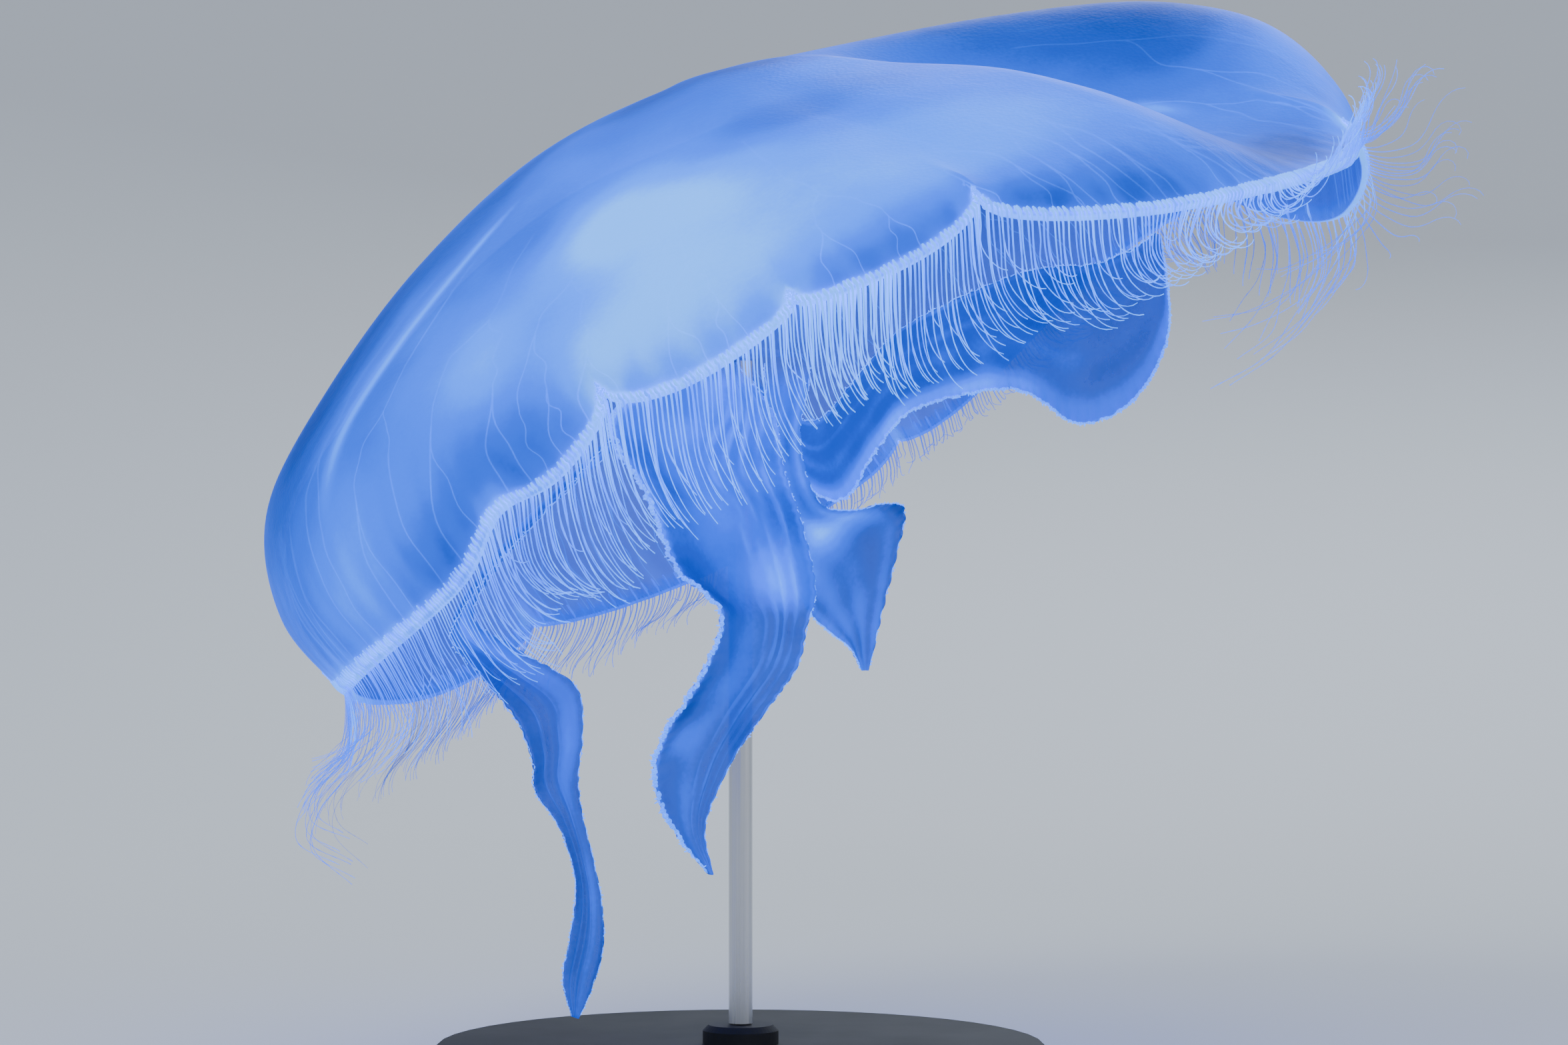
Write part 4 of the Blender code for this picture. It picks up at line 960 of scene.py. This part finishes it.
def make_arm(number, material):
    """An oral arm: a thin folded sheet with frilled edges."""
    along = np.linspace(0, 1, ARM_ROWS)[:, None]
    across = 0.5 - 0.5 * np.cos(math.pi * np.linspace(0, 1, ARM_COLUMNS))
    middle, facing, width = arm_sheet(ARMS[number], along[:, 0], across)
    run = run_along(middle[:, ARM_COLUMNS // 2])
    narrow = smooth_step(width / NARROW_WIDTH)[:, None]
    pale_root = 1 - smooth_step(along / ARM_PALE_ROOT)
    tone = np.full((ARM_ROWS, ARM_COLUMNS), ARM_TONE) + ARM_ROOT_PALER[number] * pale_root
    lift = np.zeros(tone.shape)
    drift = 0.035 * line_noise(run, number, 0.016, 5)
    for index, (place, half, pale, stand) in enumerate(ARM_FOLDS[number]):
        own = 0.022 * line_noise(run, index, 0.011, 7)
        line = place + (drift + own) * math.sin(math.pi * place)
        near = bump_of(across, line[:, None], half * (1 + 0.6 * (1 - narrow)))
        fade = 0.72 + 0.28 * line_noise(run, 3 * index, 0.014, 9)
        tone = tone + pale * near * fade[:, None]
        lift = lift + stand * MILLIMETRE * near * narrow
    spots = np.stack(np.broadcast_arrays(run[:, None], across * 0.02), axis=-1)
    tone = tone + 0.07 * value_noise(spots, 0.006, 21 + number)
    # Painted highlights and painted shade.
    for level, place, tall, wide, pale in ARM_HIGHLIGHT_AND_SHADE_PATCHES[number]:
        tone = tone + pale * bump_of(along, level, tall) * bump_of(across, place, wide)
    for edge, (rate, (frill, _)) in enumerate(zip(FRILL_RATES, ARM_FRILLS[number])):
        near = np.exp(-np.abs(across - edge) / FRILL_REACH)
        sway = np.sin(run * rate + 1.7 * line_noise(run, edge, 0.005, 31))[:, None]
        lift = lift + frill * MILLIMETRE * sway * narrow * near
    middle = middle + facing[:, None] * lift[..., None]
    half = 0.5 * SHEET_THICKNESS * (1 - 0.35 * (2 * across - 1) ** 8)
    half = facing[:, None] * half[:, None]
    rows = np.concatenate((middle + half, (middle - half)[:, ::-1]), axis=1)
    faces = [kind(ARM_ROWS, 2 * ARM_COLUMNS) for kind in (ring_faces, end_faces)]
    tone = np.concatenate((tone, tone[:, ::-1]), axis=1)
    veil = (0.74 + 0.42 * np.abs(tone - ARM_TONE)).clip(0.6, 0.95)
    veil = veil * smooth_step(along / ARM_ROOT_FADE)
    u = 0.02 + np.concatenate((across * 0.45, 0.5 + across[::-1] * 0.45))
    uv = np.stack(np.broadcast_arrays(u, along * 0.96 + 0.02), axis=-1)
    name = ARM_NAMES[number]
    add_piece(f"{name}_veil", rows.reshape(-1, 3), faces, material,
              [f"{name}_{part}" for part in ("upper", "middle", "tip")], tone, veil, uv)


def make_hems(material, random):
    """Beaded, crinkled cords along the arms' edges, with tiny fingers on them."""
    hems, widths, fingers = [], [], []
    share = np.linspace(0, 1, HEM_STEPS)
    thinned = 0.45 + 0.55 * smooth_step((1 - share) / 0.12)
    picks = np.arange(6, HEM_STEPS - 4, FINGER_EVERY)
    steps = np.linspace(0, 1, len(FINGER_RADII))[:, None]
    for number, edges in enumerate(ARMS):
        sheet, facing, width = arm_sheet(edges, share, np.array((0, 1)))
        narrow = smooth_step(width / NARROW_WIDTH)[:, None]
        for side, (frill, radius) in enumerate(ARM_FRILLS[number]):
            edge = sheet[:, side]
            run = run_along(edge)
            outward = unit(edge - sheet[:, 1 - side] + 1e-9)
            first = line_noise(run, 1, 0.0011, 41 + 2 * number + side)
            second = line_noise(run, 5, 0.0013, 61 + 2 * number + side)
            sway = facing * first[:, None] + outward * (0.6 * second)[:, None]
            edge = edge + sway * narrow * frill * MILLIMETRE
            beads = 1 + 0.32 * np.sin(run * 5200 + 2 * first) + 0.25 * second
            hems.append(edge)
            widths.append(radius * MILLIMETRE * beads.clip(0.45, 1.7) * thinned)
            aim = (outward[picks] * 0.8
                   + facing[picks] * random.normal(0, 0.7, (len(picks), 1))
                   + random.normal(0, 0.35, (len(picks), 3)))
            reach = random.uniform(0.25, 0.75, (len(picks), 1)) * (0.5 + radius / 0.4)
            reach = unit(aim) * reach * MILLIMETRE
            fingers.append(edge[picks][:, None] + reach[:, None] * steps)
    fingers = np.concatenate(fingers)
    finger_widths = np.tile(FINGER_RADII, (len(fingers), 1))
    points, faces, owner, share, _ = tubes((np.array(hems), np.array(widths), HEM_SIDES),
                                           (fingers, finger_widths, FINGER_SIDES))
    tone = np.where(owner < len(hems), 0.86 + 0.12 * np.sin(share * 1800), 0.94)
    add_piece("arm_hems", points, faces, material, (), tone, 0.9)


# ---------------- materials
# Blue of the lit jelly from its deepest to its palest, as (place, colour).
JELLY_RAMP = (
    (0, (0, 0.02, 0.19)),
    (0.2, (0, 0.034, 0.31)),
    (0.42, (0, 0.062, 0.56)),
    (0.6, (0.001, 0.098, 0.8)),
    (0.78, (0.01, 0.16, 0.96)),
    (1, (0.05, 0.3, 1)),
)
# Strength of the tissues' emission: painted light of their own colour, though they are no lamp.
PAINTED_GLOW = 1.8
JELLY_IOR = 1.36
JELLY_SPECULAR = 0.03
EDGE_BLEND = 0.3
MOST_VEIL = 0.98
GRAINS_PER_METRE = 1100
BUMP_STRENGTH = 0.6
BACKDROP = (0.6, 0.63, 0.68)


def feed(node, inputs):
    """Give a node's inputs values, or links from other nodes."""
    for key, value in inputs.items():
        if isinstance(value, bpy.types.NodeSocket):
            node.id_data.links.new(value, node.inputs[key])
        else:
            node.inputs[key].default_value = value


def output(tree, kind, socket, inputs, **settings):
    """One output of a new node."""
    node = tree.nodes.new(kind)
    for key, value in settings.items():
        setattr(node, key, value)
    feed(node, inputs)
    return node.outputs[socket]


def blank_material(name):
    """A material with a Principled shader; returns it with its tree and shader."""
    material = bpy.data.materials.new(name)
    material.use_nodes = True
    return material, material.node_tree, material.node_tree.nodes["Principled BSDF"]


def object_place(tree):
    """Places in the object's own space."""
    return output(tree, "ShaderNodeTexCoord", "Object", {})


def noise(tree, scale, detail=3, stretch=None):
    """A noise texture in object space; stretch scales its coordinates."""
    place = object_place(tree)
    if stretch:
        place = output(tree, "ShaderNodeMapping", "Vector", {"Vector": place, "Scale": stretch})
    return output(tree, "ShaderNodeTexNoise", "Fac",
                  {"Vector": place, "Scale": scale, "Detail": detail})


def calculated(tree, operation, first, second):
    """A sum, product or the like of two sockets or numbers."""
    return output(tree, "ShaderNodeMath", "Value", {0: first, 1: second}, operation=operation)


def scaled(tree, value, factor, extra):
    """A value times a factor, and something more."""
    return calculated(tree, "ADD", calculated(tree, "MULTIPLY", value, factor), extra)


def uneven(tree, value, scale, detail, amount):
    """A value with noise of some amount added or taken away."""
    swing = calculated(tree, "SUBTRACT", noise(tree, scale, detail), 0.5)
    return scaled(tree, swing, amount, value)


def mixed(tree, pattern, first, second):
    """A pattern's colour between two colours."""
    inputs = {"Factor": pattern, "A": (*first, 1), "B": (*second, 1)}
    return output(tree, "ShaderNodeMix", "Result", inputs, data_type="RGBA")


def bump(tree, height, distance):
    """The bumped normal of a height."""
    inputs = {"Height": height, "Distance": distance, "Strength": BUMP_STRENGTH}
    return output(tree, "ShaderNodeBump", "Normal", inputs)


def tissue(name, least_rough, painted_glow, rim=0, grain=0, mottle=0.1):
    """See-through blue tissue that gives off painted light of its own colour; its paleness and
    veil are numbers on the mesh.
    """
    material, tree, shader = blank_material(name)
    tone, veil = (output(tree, "ShaderNodeAttribute", "Fac", {}, attribute_name=key)
                  for key in ("tone", "veil"))
    tone = uneven(tree, tone, 70, 3, mottle * 2)
    tone = uneven(tree, tone, 900, 2, mottle * 0.8)
    colour = output(tree, "ShaderNodeValToRGB", "Color", {"Fac": tone})
    ramp = colour.node.color_ramp
    ramp.interpolation = "EASE"
    while len(ramp.elements) < len(JELLY_RAMP):
        ramp.elements.new(0.5)
    for stop, (place, blue) in zip(ramp.elements, JELLY_RAMP):
        stop.position = place
        stop.color = (*blue, 1)
    if rim:
        facing = output(tree, "ShaderNodeLayerWeight", "Facing", {"Blend": EDGE_BLEND})
        veil = scaled(tree, facing, rim, veil)
    # The emission is painted light in the tissue's own colour.
    feed(shader, {"Base Color": colour, "Emission Color": colour, "Emission Strength": painted_glow,
                  "Specular IOR Level": JELLY_SPECULAR, "IOR": JELLY_IOR,
                  "Roughness": scaled(tree, noise(tree, 240), 0.16, least_rough),
                  "Alpha": calculated(tree, "MINIMUM", veil, MOST_VEIL)})
    if grain:
        grains = output(tree, "ShaderNodeTexVoronoi", "Distance",
                        {"Vector": object_place(tree), "Scale": GRAINS_PER_METRE})
        height = calculated(tree, "ADD", grains, noise(tree, 420))
        feed(shader, {"Normal": bump(tree, height, grain)})
    return material


def painted_black():
    """Satin black paint with a very fine texture."""
    material, tree, shader = blank_material("satin_black_paint")
    colour = mixed(tree, noise(tree, 130), (0.012, 0.013, 0.015), (0.024, 0.025, 0.028))
    feed(shader, {"Base Color": colour, "Specular IOR Level": 0.08,
                  "Roughness": scaled(tree, noise(tree, 45), 0.1, 0.5),
                  "Normal": bump(tree, noise(tree, 2600), 0.00003)})
    return material


def brushed_steel():
    """Steel with fine lines along the rod."""
    material, tree, shader = blank_material("brushed_steel_rod")
    lines = noise(tree, 5, 4, (900, 900, 6))
    feed(shader, {"Base Color": mixed(tree, lines, (0.5, 0.5, 0.51), (0.68, 0.68, 0.69)),
                  "Roughness": scaled(tree, lines, 0.15, 0.22), "Metallic": 1,
                  "Normal": bump(tree, lines, 0.00002)})
    return material


def matte_backdrop():
    """Pale matte paper, with the faintest mottling."""
    material, tree, shader = blank_material("pale_paper")
    colour = mixed(tree, noise(tree, 3), BACKDROP, [0.97 * value for value in BACKDROP])
    feed(shader, {"Base Color": colour, "Roughness": 0.9, "Specular IOR Level": 0.1})
    return material


# ---------------- floor, light and camera
FLOOR_RINGS = (0.35, 0.75)
FLOOR_SIDES = 96
SWEEP_RADIUS = 2.2
SWEEP_ANGLE = 1.15
SWEEP_STEPS = 24
CAMERA_PLACE = (0.00915, -0.919, 0.1159)
CAMERA_LENS = 100
ROOM_COLOUR = (0.86, 0.92, 1, 1)
ROOM_STRENGTH = 0.8
MODEL_MIDDLE = (0.02, 0, 0.13)
# Soft square lamps, all facing the model: name, place, size, power and colour.
LAMPS = (
    ("key_softbox", (-0.75, -0.95, 1.25), 0.9, 9, (1, 1, 1)),
    ("fill_softbox", (1.15, -0.9, 0.7), 1, 4, (1, 1, 1)),
    ("back_softbox", (0.35, 1.25, 1.05), 0.9, 10, (0.85, 0.93, 1)),
)


def make_backdrop():
    """A round floor that sweeps up all round, so that no horizon shows."""
    sweep = np.linspace(0, SWEEP_ANGLE, SWEEP_STEPS + 1)[1:]
    radii = np.append(FLOOR_RINGS, FLOOR_RINGS[-1] + SWEEP_RADIUS * np.sin(sweep))[:, None]
    heights = np.append((0, 0), SWEEP_RADIUS * (1 - np.cos(sweep)))[:, None]
    angle = np.arange(FLOOR_SIDES) * math.tau / FLOOR_SIDES
    rings = np.stack(np.broadcast_arrays(radii * np.cos(angle), radii * np.sin(angle), heights),
                     axis=-1).reshape(-1, 3)
    faces = [ring_faces(len(radii), FLOOR_SIDES),
             fan_faces(len(rings), np.arange(FLOOR_SIDES), True)]
    points = np.append(rings, np.zeros((1, 3)), axis=0)
    smooth_mesh("pale_floor", points, faces, matte_backdrop())


def make_light():
    """An evenly lit room with three soft lamps."""
    world = bpy.data.worlds.new("soft_room")
    world.use_nodes = True
    feed(world.node_tree.nodes["Background"], {"Color": ROOM_COLOUR, "Strength": ROOM_STRENGTH})
    bpy.context.scene.world = world
    for name, place, size, power, colour in LAMPS:
        lamp = bpy.data.lights.new(name, "AREA")
        lamp.energy, lamp.size, lamp.color = power, size, colour
        light = in_scene(name, lamp)
        light.location = place
        # The angles that turn the lamp's -Z axis towards the model.
        right, away, up = unit(np.subtract(MODEL_MIDDLE, place))
        light.rotation_euler = (math.acos(-up), 0, math.atan2(-right, away))


def make_camera():
    """The photograph's view: level, from the front, through a long lens."""
    lens = bpy.data.cameras.new("photo_camera")
    lens.lens, lens.sensor_width = CAMERA_LENS, 36
    lens.clip_start, lens.clip_end = 0.02, 50
    camera = in_scene("photo_camera", lens)
    camera.location = CAMERA_PLACE
    camera.rotation_euler = (0.5 * math.pi, 0, 0)
    bpy.context.scene.camera = camera


def main():
    """Make everything, in an order that the random numbers rely on."""
    random = np.random.default_rng(7)
    skin = tissue("bell_jelly_skin", 0.37, PAINTED_GLOW, rim=0.32, grain=0.0001, mottle=0.07)
    inner = tissue("inner_tissue", 0.37, PAINTED_GLOW)
    arm = tissue("arm_veil_tissue", 0.34, PAINTED_GLOW, rim=0.22, grain=0.00006)
    fringe = tissue("tentacle_tissue", 0.32, PAINTED_GLOW, mottle=0.16)
    make_bell_skin(skin)
    make_canals(inner, random)
    make_gonads(inner)
    make_mouth_stalk(arm)
    for number in range(len(ARMS)):
        make_arm(number, arm)
    make_hems(fringe, random)
    for lobe in range(len(NOTCHES)):
        make_tentacles(lobe, fringe, random)
    make_notch_specks(fringe, random)
    finishes = {"stand_base": painted_black(), "stand_rod": brushed_steel()}
    organ = tissue("rhopalium_tissue", 0.32, 0.5 * PAINTED_GLOW)
    finishes.update((f"rhopalium_{number}", organ) for number in range(1, len(NOTCHES) + 1))
    for name, finish in finishes.items():
        NODES[name].material_slots[0].material = finish
    make_backdrop()
    make_light()
    make_camera()


main()
